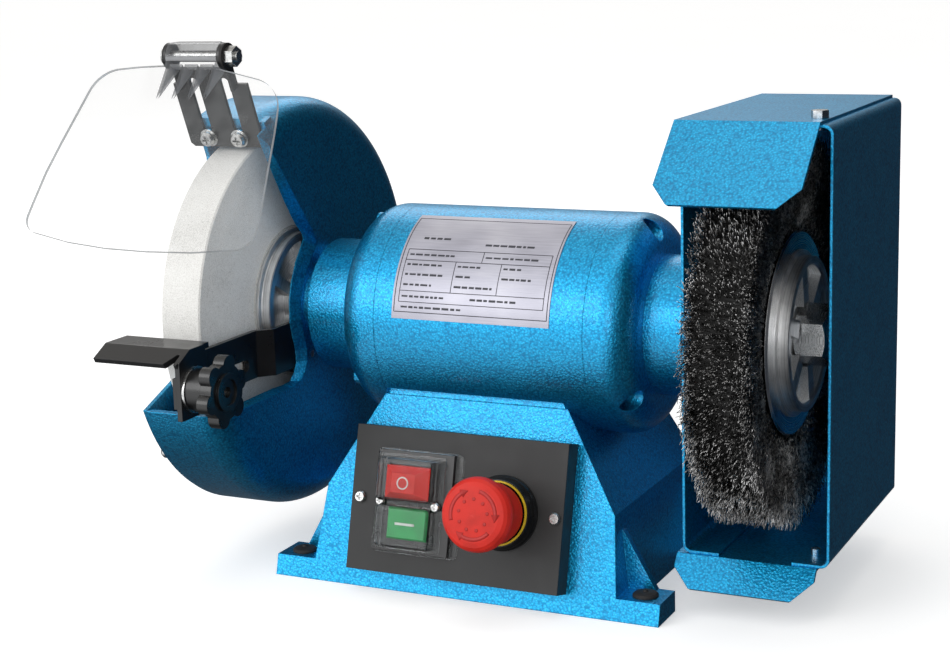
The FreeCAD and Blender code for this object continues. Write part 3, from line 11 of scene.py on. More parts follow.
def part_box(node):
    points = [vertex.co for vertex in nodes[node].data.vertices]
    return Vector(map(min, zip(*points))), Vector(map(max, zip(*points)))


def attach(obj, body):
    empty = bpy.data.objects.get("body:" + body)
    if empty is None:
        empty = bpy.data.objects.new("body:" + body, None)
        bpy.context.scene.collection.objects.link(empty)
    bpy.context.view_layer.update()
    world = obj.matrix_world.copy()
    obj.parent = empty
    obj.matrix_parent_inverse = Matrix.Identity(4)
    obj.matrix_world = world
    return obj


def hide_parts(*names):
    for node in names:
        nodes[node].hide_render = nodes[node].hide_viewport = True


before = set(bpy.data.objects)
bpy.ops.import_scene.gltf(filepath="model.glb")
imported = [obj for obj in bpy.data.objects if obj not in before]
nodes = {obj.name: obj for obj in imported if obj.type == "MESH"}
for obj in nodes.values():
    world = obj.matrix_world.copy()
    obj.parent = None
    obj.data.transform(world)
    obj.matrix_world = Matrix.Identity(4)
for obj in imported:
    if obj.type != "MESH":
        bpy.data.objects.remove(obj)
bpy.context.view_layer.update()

MM = 0.001
AXIS_Z = 0.144
WHITE = (1.0, 1.0, 1.0)

# ---------------------------------------------------------------- camera
YAW = math.radians(26.01)
PITCH = math.radians(12.04)
ROLL = math.radians(-1.74)
CAMERA_AT = (0.43082, -0.92505, 0.35288)
FOCAL_LENGTH = 70.28

ahead = Vector((-math.sin(YAW) * math.cos(PITCH), math.cos(YAW) * math.cos(PITCH), -math.sin(PITCH)))
level = Vector((math.cos(YAW), math.sin(YAW), 0.0))
above = level.cross(ahead)
side = math.cos(ROLL) * level + math.sin(ROLL) * above
top = -math.sin(ROLL) * level + math.cos(ROLL) * above
camera = bpy.data.objects.new("camera", bpy.data.cameras.new("camera"))
bpy.context.scene.collection.objects.link(camera)
turned = Matrix((side, top, -ahead)).transposed().to_4x4()
camera.matrix_world = Matrix.Translation(CAMERA_AT) @ turned
camera.data.sensor_fit = "HORIZONTAL"
camera.data.sensor_width = 36.0
camera.data.lens = FOCAL_LENGTH
camera.data.clip_start = 0.05
bpy.context.scene.camera = camera


# ---------------------------------------------------------------- material building
class Look:
    """A node material around one Principled shader, with short calls for the patterns on it."""

    def __init__(self, name, base, roughness=0.5, metallic=0.0, **sockets):
        self.material = bpy.data.materials.new(name)
        self.material.use_nodes = True
        self.tree = self.material.node_tree
        self.shader = self.tree.nodes["Principled BSDF"]
        self.out = self.tree.nodes["Material Output"]
        self.set("Base Color", (*base, 1.0))
        self.set("Roughness", roughness)
        self.set("Metallic", metallic)
        for key, value in sockets.items():
            self.set(key.replace("_", " "), value)
        self.material.diffuse_color = (*base, 1.0)
        self.place = self.make("ShaderNodeTexCoord").outputs["Object"]
        self.normal = None

    def set(self, socket, value):
        self.shader.inputs[socket].default_value = value

    def make(self, kind, **settings):
        node = self.tree.nodes.new(kind)
        for key, value in settings.items():
            setattr(node, key, value)
        return node

    def join(self, source, target):
        self.tree.links.new(source, target)

    def stretched(self, scale):
        node = self.make("ShaderNodeMapping")
        node.inputs["Scale"].default_value = scale
        self.join(self.place, node.inputs["Vector"])
        return node.outputs["Vector"]

    def noise(self, scale, detail=2.0, rough=0.5, place=None, distortion=0.0):
        node = self.make("ShaderNodeTexNoise")
        node.inputs["Scale"].default_value = scale
        node.inputs["Detail"].default_value = detail
        node.inputs["Roughness"].default_value = rough
        node.inputs["Distortion"].default_value = distortion
        self.join(place or self.place, node.inputs["Vector"])
        return node.outputs["Fac"]

    def cells(self, scale, smooth=None):
        """Distance from the cell centres of a Voronoi pattern, smoothed if asked."""
        node = self.make("ShaderNodeTexVoronoi", feature="SMOOTH_F1" if smooth else "F1")
        node.inputs["Scale"].default_value = scale
        if smooth:
            node.inputs["Smoothness"].default_value = smooth
        self.join(self.place, node.inputs["Vector"])
        return node.outputs["Distance"]

    def ramp(self, source, stops):
        node = self.make("ShaderNodeValToRGB")
        ramp = node.color_ramp
        while len(ramp.elements) < len(stops):
            ramp.elements.new(0.5)
        for element, (at, colour) in zip(ramp.elements, stops):
            element.position = at
            element.color = (*colour, 1.0)
        self.join(source, node.inputs["Fac"])
        return node.outputs["Color"]

    def level(self, source, low, high, to_low, to_high):
        node = self.make("ShaderNodeMapRange")
        for key, value in (("From Min", low), ("From Max", high), ("To Min", to_low), ("To Max", to_high)):
            node.inputs[key].default_value = value
        self.join(source, node.inputs["Value"])
        return node.outputs["Result"]

    def from_noise(self, source, to_low, to_high):
        """A noise, which mostly lies between 0.3 and 0.7, mapped onto a range."""
        return self.level(source, 0.3, 0.7, to_low, to_high)

    def combine(self, a, b, operation="ADD"):
        """Two values added, or joined by another operation."""
        node = self.make("ShaderNodeMath", operation=operation)
        for socket, value in zip(node.inputs, (a, b)):
            if isinstance(value, float):
                socket.default_value = value
            else:
                self.join(value, socket)
        return node.outputs["Value"]

    def mix(self, fac, a, b):
        node = self.make("ShaderNodeMix", data_type="RGBA")
        for socket, value in ((node.inputs[0], fac), (node.inputs[6], a), (node.inputs[7], b)):
            if isinstance(value, tuple):
                socket.default_value = (*value, 1.0)
            else:
                self.join(value, socket)
        return node.outputs[2]

    def colour(self, source):
        self.join(source, self.shader.inputs["Base Color"])

    def rough(self, source):
        self.join(source, self.shader.inputs["Roughness"])

    def edge(self, radius):
        """Light catches real edges on a small radius."""
        node = self.make("ShaderNodeBevel", samples=4)
        node.inputs["Radius"].default_value = radius
        self.normal = node.outputs["Normal"]
        self.join(self.normal, self.shader.inputs["Normal"])
        self.join(self.normal, self.shader.inputs["Coat Normal"])

    def bump(self, height, distance, strength=1.0, coat=0.0):
        before = self.normal
        node = self.make("ShaderNodeBump")
        node.inputs["Strength"].default_value = strength
        node.inputs["Distance"].default_value = distance
        self.join(height, node.inputs["Height"])
        if before:
            self.join(before, node.inputs["Normal"])
        self.normal = node.outputs["Normal"]
        self.join(self.normal, self.shader.inputs["Normal"])
        if coat:
            second = self.make("ShaderNodeBump")
            second.inputs["Strength"].default_value = strength * coat
            second.inputs["Distance"].default_value = distance
            self.join(height, second.inputs["Height"])
            if before:
                self.join(before, second.inputs["Normal"])
            self.join(second.outputs["Normal"], self.shader.inputs["Coat Normal"])


def scaled(base, factor):
    """A colour made darker or lighter, held at 1 in each channel."""
    return tuple(min(1.0, c * factor) for c in base)


def hammer_paint():
    """Blue metallic paint with a fine sandy orange peel."""
    look = Look(
        "blue_hammer_paint", (0.012, 0.30, 0.60), 0.36, 0.90,
        Coat_Weight=0.4, Coat_Roughness=0.10, Coat_IOR=1.5,
    )
    drift = look.noise(60.0, 2.0)
    blobs = look.cells(780.0, smooth=0.5)
    fine = look.noise(1500.0, 3.0, 0.6)
    tone = look.combine(blobs, look.from_noise(fine, -0.14, 0.14))
    tone = look.combine(tone, look.from_noise(drift, -0.05, 0.05))
    look.colour(look.ramp(tone, [
        (0.08, (0.024, 0.50, 0.84)),
        (0.32, (0.009, 0.35, 0.66)),
        (0.56, (0.006, 0.29, 0.56)),
        (0.8, (0.003, 0.20, 0.42)),
    ]))
    look.rough(look.from_noise(fine, 0.32, 0.44))
    look.edge(0.0008)
    height = look.combine(look.level(blobs, 0.0, 0.7, 1.0, 0.0), look.from_noise(fine, 0.0, 0.3))
    look.bump(height, 0.00028, 0.42, coat=0.5)
    return look.material


def moulded(
    name, base, roughness,
    grain=1400.0, depth=0.00004, spread=0.12, coat=0.0, edge=0.0004, lift=1.35, **sockets,
):
    """Moulded plastic or rubber: fine grain, slight tone drift, small soft edges."""
    look = Look(name, base, roughness, 0.0, Coat_Weight=coat, Coat_Roughness=0.08, **sockets)
    drift = look.noise(90.0, 3.0)
    fine = look.noise(grain, 3.0, 0.6)
    tone = look.combine(drift, look.from_noise(fine, -0.08, 0.08))
    look.colour(look.ramp(tone, [(0.3, scaled(base, 0.82)), (0.5, base), (0.72, scaled(base, lift))]))
    look.rough(look.from_noise(drift, roughness - spread / 2, roughness + spread / 2))
    look.edge(edge)
    look.bump(fine, depth, 0.5, coat=0.3 if coat else 0.0)
    return look.material


def satin_steel(name, base, roughness, coat):
    """Painted sheet steel with a faint orange peel."""
    look = Look(name, base, roughness, 0.0, Coat_Weight=coat, Coat_Roughness=0.15)
    peel = look.noise(900.0, 2.0)
    drift = look.noise(45.0, 4.0, 0.6)
    look.colour(look.ramp(drift, [(0.3, scaled(base, 0.8)), (0.55, base), (0.75, scaled(base, 1.5))]))
    look.rough(look.from_noise(drift, roughness - 0.07, roughness + 0.08))
    look.edge(0.0005)
    look.bump(peel, 0.00003, 0.5, coat=0.4)
    return look.material


def plated(name, base, roughness):
    """Zinc plate or ground steel: mottled brightness with faint scratches."""
    look = Look(name, base, roughness, 1.0)
    drift = look.noise(380.0, 4.0, 0.6)
    lines = look.noise(260.0, 4.0, 0.7, place=look.stretched((1.0, 1.0, 9.0)))
    tone = look.combine(drift, look.from_noise(lines, -0.14, 0.14))
    look.colour(look.ramp(tone, [(0.28, scaled(base, 0.5)), (0.5, base), (0.72, scaled(base, 1.25))]))
    look.rough(look.from_noise(tone, roughness + 0.1, roughness - 0.05))
    look.edge(0.0003)
    look.bump(lines, 0.00002, 0.4)
    return look.material


def turned_metal(name, base, roughness, pitch=2300.0, anisotropic=0.0):
    """Metal turned on a lathe about the shaft: fine rings round the axis."""
    look = Look(name, base, roughness, 1.0, Anisotropic=anisotropic)
    shift = look.make("ShaderNodeVectorMath", operation="SUBTRACT")
    shift.inputs[1].default_value = (0.0, 0.0, AXIS_Z)
    look.join(look.place, shift.inputs[0])
    flat = look.make("ShaderNodeVectorMath", operation="MULTIPLY")
    flat.inputs[1].default_value = (0.0, 1.0, 1.0)
    look.join(shift.outputs["Vector"], flat.inputs[0])
    length = look.make("ShaderNodeVectorMath", operation="LENGTH")
    look.join(flat.outputs["Vector"], length.inputs[0])
    radius = length.outputs["Value"]
    along = look.make("ShaderNodeSeparateXYZ")
    look.join(look.place, along.inputs["Vector"])
    step = look.make("ShaderNodeCombineXYZ")
    look.join(look.combine(radius, pitch, "MULTIPLY"), step.inputs["X"])
    look.join(look.combine(along.outputs["X"], pitch, "MULTIPLY"), step.inputs["Y"])
    rings = look.noise(1.0, 2.0, 0.6, place=step.outputs["Vector"])
    drift = look.noise(120.0, 3.0)
    tone = look.combine(rings, look.from_noise(drift, -0.1, 0.1))
    look.colour(look.ramp(tone, [(0.3, scaled(base, 0.72)), (0.5, base), (0.72, scaled(base, 1.15))]))
    look.rough(look.from_noise(rings, roughness - 0.05, roughness + 0.09))
    look.edge(0.0003)
    look.bump(rings, 0.00002, 0.5)
    return look.material


def abrasive():
    """White bonded grit: speckled, dull and pitted."""
    look = Look("wheel_abrasive", (0.70, 0.69, 0.66), 0.92, 0.0)
    look.set("Specular IOR Level", 0.25)
    grain = look.noise(1500.0, 4.0, 0.75)
    pores = look.cells(1100.0)
    drift = look.noise(38.0, 4.0, 0.6)
    tone = look.combine(look.level(grain, 0.25, 0.75, 0.0, 1.0), look.from_noise(drift, -0.14, 0.14))
    look.colour(look.ramp(tone, [
        (0.16, (0.58, 0.57, 0.54)),
        (0.38, (0.78, 0.77, 0.74)),
        (0.62, (0.86, 0.85, 0.82)),
        (0.9, (0.93, 0.93, 0.91)),
    ]))
    look.rough(look.from_noise(grain, 0.85, 0.97))
    pitted = look.combine(grain, look.level(pores, 0.0, 0.6, 0.4, 0.0), "SUBTRACT")
    look.bump(pitted, 0.00025, 0.55)
    return look.material


def paper():
    """Grey blotter card with a fibrous surface."""
    look = Look("blotter_paper", (0.52, 0.52, 0.50), 0.85)
    fibres = look.noise(700.0, 5.0, 0.7, distortion=0.4)
    look.colour(look.ramp(fibres, [(0.3, (0.42, 0.42, 0.40)), (0.7, (0.62, 0.62, 0.60))]))
    look.rough(look.from_noise(fibres, 0.8, 0.92))
    look.bump(fibres, 0.00005, 0.4)
    return look.material


def foil():
    """Grey printed foil with a faint brushing along the plate."""
    look = Look("label_foil", (0.44, 0.435, 0.50), 0.42, 0.55)
    brushed = look.noise(420.0, 3.0, 0.6, place=look.stretched((0.12, 3.0, 3.0)))
    drift = look.noise(26.0, 2.0)
    tone = look.combine(drift, look.from_noise(brushed, -0.12, 0.12))
    look.colour(look.ramp(tone, [
        (0.3, (0.36, 0.355, 0.41)),
        (0.5, (0.44, 0.435, 0.50)),
        (0.75, (0.54, 0.535, 0.59)),
    ]))
    look.rough(look.from_noise(brushed, 0.34, 0.5))
    look.bump(brushed, 0.00001, 0.3)
    return look.material


def clear_skin():
    """Clear moulded skin: a mirror by angle over a clear body, with a trace of haze."""
    haze = 0.004
    look = Look("clear_plastic", WHITE, 0.05, 1.0)
    drift = look.noise(160.0, 2.0)
    look.colour(look.ramp(drift, [(0.3, (0.86, 0.88, 0.89)), (0.7, WHITE)]))
    look.rough(look.from_noise(drift, 0.03, 0.09))
    look.edge(0.0004)
    look.bump(look.noise(240.0, 2.0), 0.00004, 0.3)
    through = look.make("ShaderNodeBsdfTransparent")
    through.inputs["Color"].default_value = (0.985, 0.99, 0.99, 1.0)
    fresnel = look.make("ShaderNodeFresnel")
    fresnel.inputs["IOR"].default_value = 1.22
    look.join(look.normal, fresnel.inputs["Normal"])
    share = look.combine(fresnel.outputs["Fac"], look.from_noise(drift, haze * 0.6, haze))
    blend = look.make("ShaderNodeMixShader")
    look.join(share, blend.inputs["Fac"])
    look.join(through.outputs["BSDF"], blend.inputs[1])
    look.join(look.shader.outputs["BSDF"], blend.inputs[2])
    look.join(blend.outputs["Shader"], look.out.inputs["Surface"])
    return look.material


# the eye shield at rest: its lean, its hinge, and where its smoky part fades out, in metres
SHIELD_LEAN = math.radians(35.0)
HINGE = Vector((-0.1575, -0.0623, 0.2917))
SMOKY_BELOW_HINGE = (0.028, 0.034)
SMOKY_FROM_MIDDLE = (0.022, 0.026)


def shield_look():
    """Clear pane with pale cut edges; the fins and the hinge tube near the top are smoky."""
    look = Look("eye_shield_clear", (0.66, 0.68, 0.69), 0.12, 0.0)
    face = look.make("ShaderNodeVectorMath", operation="DOT_PRODUCT")
    face.inputs[1].default_value = (0.0, -math.cos(SHIELD_LEAN), math.sin(SHIELD_LEAN))
    look.join(look.make("ShaderNodeTexCoord").outputs["Normal"], face.inputs[0])
    flat = look.combine(face.outputs["Value"], 0.0, "ABSOLUTE")
    edge = look.level(flat, 0.80, 0.95, 1.0, 0.0)
    down = look.make("ShaderNodeVectorMath", operation="SUBTRACT")
    down.inputs[1].default_value = HINGE
    look.join(look.place, down.inputs[0])
    reach = look.make("ShaderNodeVectorMath", operation="DOT_PRODUCT")
    reach.inputs[1].default_value = (0.0, -math.sin(SHIELD_LEAN), -math.cos(SHIELD_LEAN))
    look.join(down.outputs["Vector"], reach.inputs[0])
    hinge_side = look.level(reach.outputs["Value"], *SMOKY_BELOW_HINGE, 1.0, 0.0)
    across = look.make("ShaderNodeSeparateXYZ")
    look.join(down.outputs["Vector"], across.inputs["Vector"])
    aside = look.combine(across.outputs["X"], 0.0, "ABSOLUTE")
    middle_band = look.level(aside, *SMOKY_FROM_MIDDLE, 1.0, 0.0)
    smoky = look.combine(hinge_side, middle_band, "MULTIPLY")
    drift = look.noise(120.0, 3.0)
    pale = look.ramp(drift, [(0.3, (0.58, 0.60, 0.61)), (0.7, (0.74, 0.76, 0.77))])
    look.colour(look.mix(smoky, pale, (0.36, 0.365, 0.375)))
    look.rough(look.from_noise(drift, 0.08, 0.18))
    solid = look.combine(edge, look.level(smoky, 0.0, 1.0, 0.80, 0.70), "MULTIPLY")
    alpha = look.combine(solid, look.from_noise(drift, 0.045, 0.065))
    look.join(alpha, look.shader.inputs["Alpha"])
    return look.material


def wire():
    """Bright steel wire with dark oily patches."""
    look = Look("brush_wire", (0.25, 0.245, 0.24), 0.26, 1.0)
    drift = look.noise(500.0, 3.0, 0.7)
    oil = look.noise(55.0, 3.0)
    tone = look.combine(drift, look.from_noise(oil, -0.15, 0.15))
    look.colour(look.ramp(tone, [
        (0.3, (0.04, 0.038, 0.036)),
        (0.48, (0.22, 0.215, 0.21)),
        (0.66, (0.80, 0.79, 0.78)),
    ]))
    look.rough(look.from_noise(drift, 0.24, 0.42))
    return look.material


def winding():
    """Varnished copper turns."""
    look = Look("copper_winding", (0.50, 0.20, 0.07), 0.32, 0.85)
    turns = look.noise(500.0, 2.0, 0.5, place=look.stretched((6.0, 1.0, 1.0)))
    look.colour(look.ramp(turns, [
        (0.3, (0.28, 0.09, 0.03)),
        (0.6, (0.55, 0.23, 0.08)),
        (0.8, (0.7, 0.32, 0.14)),
    ]))
    look.rough(look.from_noise(turns, 0.25, 0.42))
    look.bump(turns, 0.0002, 0.5)
    return look.material


LOOKS = {
    "blue_hammer_paint": hammer_paint(),
    "black_rubber": moulded("black_rubber", (0.014, 0.013, 0.013), 0.66, grain=1000.0, depth=0.00006),
    "gland_plastic": moulded("gland_plastic", (0.03, 0.03, 0.031), 0.5),
    "panel_plastic": moulded(
        "panel_plastic", (0.016, 0.016, 0.016), 0.55, grain=1700.0, depth=0.00005, edge=0.0006,
    ),
    "black_plastic": moulded("black_plastic", (0.006, 0.006, 0.0065), 0.30, depth=0.00002, coat=0.25),
    "red_plastic": moulded(
        "red_plastic", (0.60, 0.024, 0.015), 0.38,
        grain=1900.0, depth=0.00002, spread=0.08, lift=1.08, Specular_IOR_Level=0.22,
    ),
    "green_plastic": moulded(
        "green_plastic", (0.010, 0.30, 0.075), 0.38,
        grain=1900.0, depth=0.00002, spread=0.08, lift=1.2,
    ),
    "yellow_plastic": moulded("yellow_plastic", (0.75, 0.52, 0.02), 0.4, spread=0.08, lift=1.1),
    "zinc_steel": plated("zinc_steel", (0.62, 0.62, 0.61), 0.26),
    "core_steel": plated("core_steel", (0.30, 0.30, 0.31), 0.42),
    "bearing_steel": turned_metal("bearing_steel", (0.62, 0.62, 0.63), 0.16),
    "shaft_steel": turned_metal("shaft_steel", (0.55, 0.55, 0.56), 0.22),
    "machined_aluminium": turned_metal(
        "machined_aluminium", (0.84, 0.84, 0.84), 0.40, pitch=1700.0, anisotropic=0.2,
    ),
    "brush_steel": turned_metal("brush_steel", (0.78, 0.79, 0.80), 0.24, pitch=2600.0),
    "black_steel": satin_steel("black_steel", (0.008, 0.008, 0.0085), 0.32, coat=0.2),
    "wheel_abrasive": abrasive(),
    "blotter_paper": paper(),
    "label_foil": foil(),
    "clear_plastic": clear_skin(),
    "brush_wire": wire(),
    "copper_winding": winding(),
}
WHITE_MARK = moulded("mark_white", (0.78, 0.78, 0.76), 0.45, lift=1.05)
DARK_MARK = moulded("mark_dark", (0.035, 0.035, 0.045), 0.55)
RED_MARK = moulded("mark_red", (0.44, 0.013, 0.010), 0.45, lift=1.1)

for thing in nodes.values():
    for slot in thing.material_slots:
        slot.material = LOOKS[slot.material.name.split(".")[0]]
for slot in nodes["eye_shield"].material_slots:
    slot.material = shield_look()


# ---------------------------------------------------------------- building pieces
def mesh_piece(name, points, faces, material, body, smooth=True):
    """A mesh that rides on a body, with the given material."""
    mesh = bpy.data.meshes.new(name)
    mesh.from_pydata([tuple(p) for p in points], [], faces)
    mesh.validate()
    mesh.update()
    thing = bpy.data.objects.new(name, mesh)
    bpy.context.scene.collection.objects.link(thing)
    mesh.materials.append(material)
    for polygon in mesh.polygons:
        polygon.use_smooth = smooth
    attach(thing, body)
    return thing


def bend(outline_rows, lift, thickness, closed):
    """Points and faces of a thin ribbon: rows of (left, right, normal), lifted along the normals."""
    points, faces = [], []
    for left, right, normal in outline_rows:
        upper = normal * lift
        lower = normal * (lift - thickness)
        points += [left + upper, right + upper, right + lower, left + lower]
    count = len(outline_rows)
    for n in range(count if closed else count - 1):
        a, b = 4 * n, 4 * ((n + 1) % count)
        for k in range(4):
            faces.append((a + k, a + (k + 1) % 4, b + (k + 1) % 4, b + k))
    if not closed:
        faces.append((3, 2, 1, 0))
        last = 4 * (count - 1)
        faces.append((last, last + 1, last + 2, last + 3))
    return points, faces


def gather(parts):
    """Several (points, faces) pairs as one."""
    points, faces = [], []
    for more, rings in parts:
        start = len(points)
        points += more
        faces += [tuple(start + i for i in face) for face in rings]
    return points, faces


# The panel leans back with the front of the pedestal. Places on it are (across, up, out) from
# PANEL_O in millimetres, and the panel's face is DEEP out.
LEAN = math.radians(15.13)
PANEL_O = Vector((-0.6, -60.2, 48.7)) * MM
ACROSS = Vector((1.0, 0.0, 0.0))
UP = Vector((0.0, math.sin(LEAN), math.cos(LEAN)))
OUT = Vector((0.0, -math.cos(LEAN), math.sin(LEAN)))
DEEP = 12.4


def on_panel(a, v, n):
    return PANEL_O + (ACROSS * a + UP * v + OUT * n) * MM


def panel_ribbon(path, width, height, thickness, closed=False):
    """A flat raised line along (a, v) points on the panel; height gives its top at a point."""
    rows = []
    count = len(path)
    for n, (a, v) in enumerate(path):
        before = path[(n - 1) % count] if closed or n else path[n]
        after = path[(n + 1) % count] if closed or n < count - 1 else path[n]
        run = Vector((after[0] - before[0], after[1] - before[1]))
        run.normalize()
        off = Vector((-run.y, run.x)) * (width if isinstance(width, float) else width[n]) / 2
        level_here = height(a, v)
        left = on_panel(a + off.x, v + off.y, level_here)
        right = on_panel(a - off.x, v - off.y, level_here)
        rows.append((left, right, OUT))
    return bend(rows, 0.0, thickness * MM, closed)


def circle(a, v, radius, count, start=0.0, sweep=360.0):
    """Points of a circle on the panel, or of an arc with both its ends."""
    steps = count if abs(sweep) >= 360.0 else count - 1
    path = []
    for n in range(count):
        turn = math.radians(start + sweep * n / steps)
        path.append((a + radius * math.cos(turn), v + radius * math.sin(turn)))
    return path


def stop_cap_height(a, v):
    return DEEP + 12.14


def start_cap_height(a, v):
    return DEEP + 9.14


# a ring on the red push button and a bar on the green one
RING_AT = (-26.7, 10.4)
RING_R = 3.1
BAR_FROM, BAR_LENGTH, BAR_V = -30.8, 11.8, -11.75
points, faces = panel_ribbon(circle(*RING_AT, RING_R, 40), 0.75, stop_cap_height, 0.3, closed=True)
mesh_piece("stop_button_ring", points, faces, WHITE_MARK, "stop_key")
bar = [(BAR_FROM + BAR_LENGTH * n / 6, BAR_V) for n in range(7)]
points, faces = panel_ribbon(bar, 1.4, start_cap_height, 0.3)
mesh_piece("start_button_bar", points, faces, WHITE_MARK, "start_key")

# arrows and dots on the emergency stop, laid on the crown of the mushroom
mushroom = nodes["estop_mushroom"]
crown = BVHTree.FromPolygons(
    [v.co for v in mushroom.data.vertices],
    [p.vertices for p in mushroom.data.polygons],
)


def crown_height(a, v):
    """Just above the mushroom's surface, found by a ray from outside, or a fixed height past its rim."""
    hit = crown.ray_cast(on_panel(a, v, DEEP + 80.0), -OUT)
    return (hit[0] - PANEL_O).dot(OUT) / MM + 0.14 if hit[0] is not None else DEEP + 38.0


STOP_X = 28.6
DOTS_R = 8.2
ARROWS_R = 12.6
ARROW_WIDTH = 2.1
TIP_WIDTH = 4.6
MARK_THICKNESS = 0.35
marks = []
for n in range(9):
    angle = 90.0 + 40.0 * n
    a = STOP_X + DOTS_R * math.cos(math.radians(angle))
    v = DOTS_R * math.sin(math.radians(angle))
    marks.append(panel_ribbon(circle(a, v, 0.5, 10), 0.95, crown_height, MARK_THICKNESS, closed=True))
for n in range(3):
    begin = 78.0 + 120.0 * n
    path = circle(STOP_X, 0.0, ARROWS_R, 22, begin, -74.0)
    marks.append(panel_ribbon(path, ARROW_WIDTH, crown_height, MARK_THICKNESS))
    tip_path = circle(STOP_X, 0.0, ARROWS_R, 7, begin - 72.0, -19.0)
    tip_widths = [TIP_WIDTH * (1.0 - k / 6.0) + 0.12 for k in range(7)]
    marks.append(panel_ribbon(tip_path, tip_widths, crown_height, MARK_THICKNESS))
points, faces = gather(marks)
mesh_piece("estop_arrows", points, faces, RED_MARK, "estop_head")

# generic table on the rating plate, which follows the barrel
PLATE_LOW, PLATE_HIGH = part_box("rating_plate")
PLATE_R = 60.4
PRINT_LIFT = 0.06 * MM
PRINT_THICKNESS = 0.12 * MM
plate_vertices = nodes["rating_plate"].data.vertices
angles = [math.degrees(math.atan2(v.co.z - AXIS_Z, -v.co.y)) for v in plate_vertices]
PLATE_FROM, PLATE_TO = min(angles), max(angles)


def plate_point(x, angle):
    """A point on the plate, x along the shaft in millimetres, angle in degrees up from the front."""
    turn = math.radians(angle)
    return Vector((x * MM, -PLATE_R * MM * math.cos(turn), AXIS_Z + PLATE_R * MM * math.sin(turn)))


def plate_normal(angle):
    return Vector((0.0, -math.cos(math.radians(angle)), math.sin(math.radians(angle))))


def plate_line_across(x0, x1, angle, width):
    half = math.degrees(width / 2 / PLATE_R)
    rows = []
    for here in (angle - half, angle + half):
        rows.append((plate_point(x0, here), plate_point(x1, here), plate_normal(here)))
    return bend(rows, PRINT_LIFT, PRINT_THICKNESS, False)


def plate_line_up(x, low, high, width):
    count = max(2, int(abs(high - low) / 2.5) + 2)
    rows = []
    for n in range(count):
        angle = low + (high - low) * n / (count - 1)
        left = plate_point(x - width / 2, angle)
        right = plate_point(x + width / 2, angle)
        rows.append((left, right, plate_normal(angle)))
    return bend(rows, PRINT_LIFT, PRINT_THICKNESS, False)


def plate_words(x0, x1, angle, height):
    """A row of short strokes standing for small print."""
    out = []
    x = x0
    while x < x1 - 1.0:
        run = print_chance.uniform(1.6, 4.4)
        end = min(x + run, x1)
        out.append(plate_line_across(x, end, angle, height * print_chance.uniform(0.75, 1.0)))
        x = end + print_chance.uniform(0.7, 1.1)
    return out


def up(share):
    """The angle at a share of the plate's height."""
    return PLATE_FROM + (PLATE_TO - PLATE_FROM) * share


X0, X1 = PLATE_LOW.x / MM + 2.2, PLATE_HIGH.x / MM - 2.2
BORDER = (0.055, 0.945)
BORDER_LINE = 0.45
TABLE = (0.585, 0.485, 0.225, 0.135)
TABLE_LINE = 0.38
print_chance = random.Random(41)
lines = []
for share in BORDER:
    lines.append(plate_line_across(X0 - 0.9, X1 + 0.9, up(share), BORDER_LINE))
for x in (X0 - 0.9, X1 + 0.9):
    lines.append(plate_line_up(x, up(BORDER[0]), up(BORDER[1]), BORDER_LINE))
for share in TABLE:
    lines.append(plate_line_across(X0 + 1.6, X1 - 1.6, up(share), TABLE_LINE))
for x in (X0 + 1.6, X1 - 1.6):
    lines.append(plate_line_up(x, up(TABLE[0]), up(TABLE[-1]), TABLE_LINE))
for x in (X0 + 32.0, X0 + 59.0):
    lines.append(plate_line_up(x, up(TABLE[1]), up(TABLE[2]), TABLE_LINE))
lines.append(plate_line_up(X0 + 47.0, up(TABLE[0]), up(TABLE[1]), TABLE_LINE))
# rows of small print: from, to, and the share of the plate's height
for x0, x1, share in (
    (X0 + 3.2, X0 + 30.0, 0.535), (X0 + 48.5, X1 - 8.0, 0.535),
    (X0 + 3.2, X0 + 24.0, 0.445), (X0 + 3.2, X0 + 27.0, 0.36), (X0 + 3.2, X0 + 20.0, 0.275),
    (X0 + 33.6, X0 + 47.0, 0.445), (X0 + 33.6, X0 + 44.0, 0.36), (X0 + 33.6, X0 + 56.0, 0.275),
    (X0 + 60.6, X0 + 72.0, 0.445), (X0 + 60.6, X0 + 78.0, 0.36),
    (X0 + 3.2, X0 + 29.0, 0.18), (X0 + 44.0, X0 + 72.0, 0.18), (X0 + 3.2, X0 + 40.0, 0.095),
):
    lines += plate_words(x0, x1, up(share), 1.25)
lines += plate_words(X0 + 8.0, X0 + 26.0, up(0.70), 1.7)
lines += plate_words(X0 + 46.0, X0 + 76.0, up(0.655), 1.5)
points, faces = gather(lines)
mesh_piece("rating_plate_print", points, faces, DARK_MARK, "stand", smooth=False)


# ---------------------------------------------------------------- wire brush
# millimetres: the brush's middle along the shaft, half its width, its radius, the radii of the near-black
# core that paints the shade among the wires, and the radii between which the wires flare from the discs
# out to the rim
BRUSH_X = 153.5
HALF = 19.2
BRUSH_R = 104.0
CORE_FROM, CORE_R = 25.0, 91.5
FLARE_FROM, FLARE_TO = 54.0, 97.0
HALF_AT_DISCS = 11.2
wire_chance = np.random.default_rng(7)


def profile(radius):
    """Half width of the brush at a radius, in millimetres: pinched by the discs, then flaring."""
    grow = np.clip((radius - FLARE_FROM) / (FLARE_TO - FLARE_FROM), 0.0, 1.0)
    return HALF_AT_DISCS + (HALF - 1.2 - HALF_AT_DISCS) * grow ** 0.8


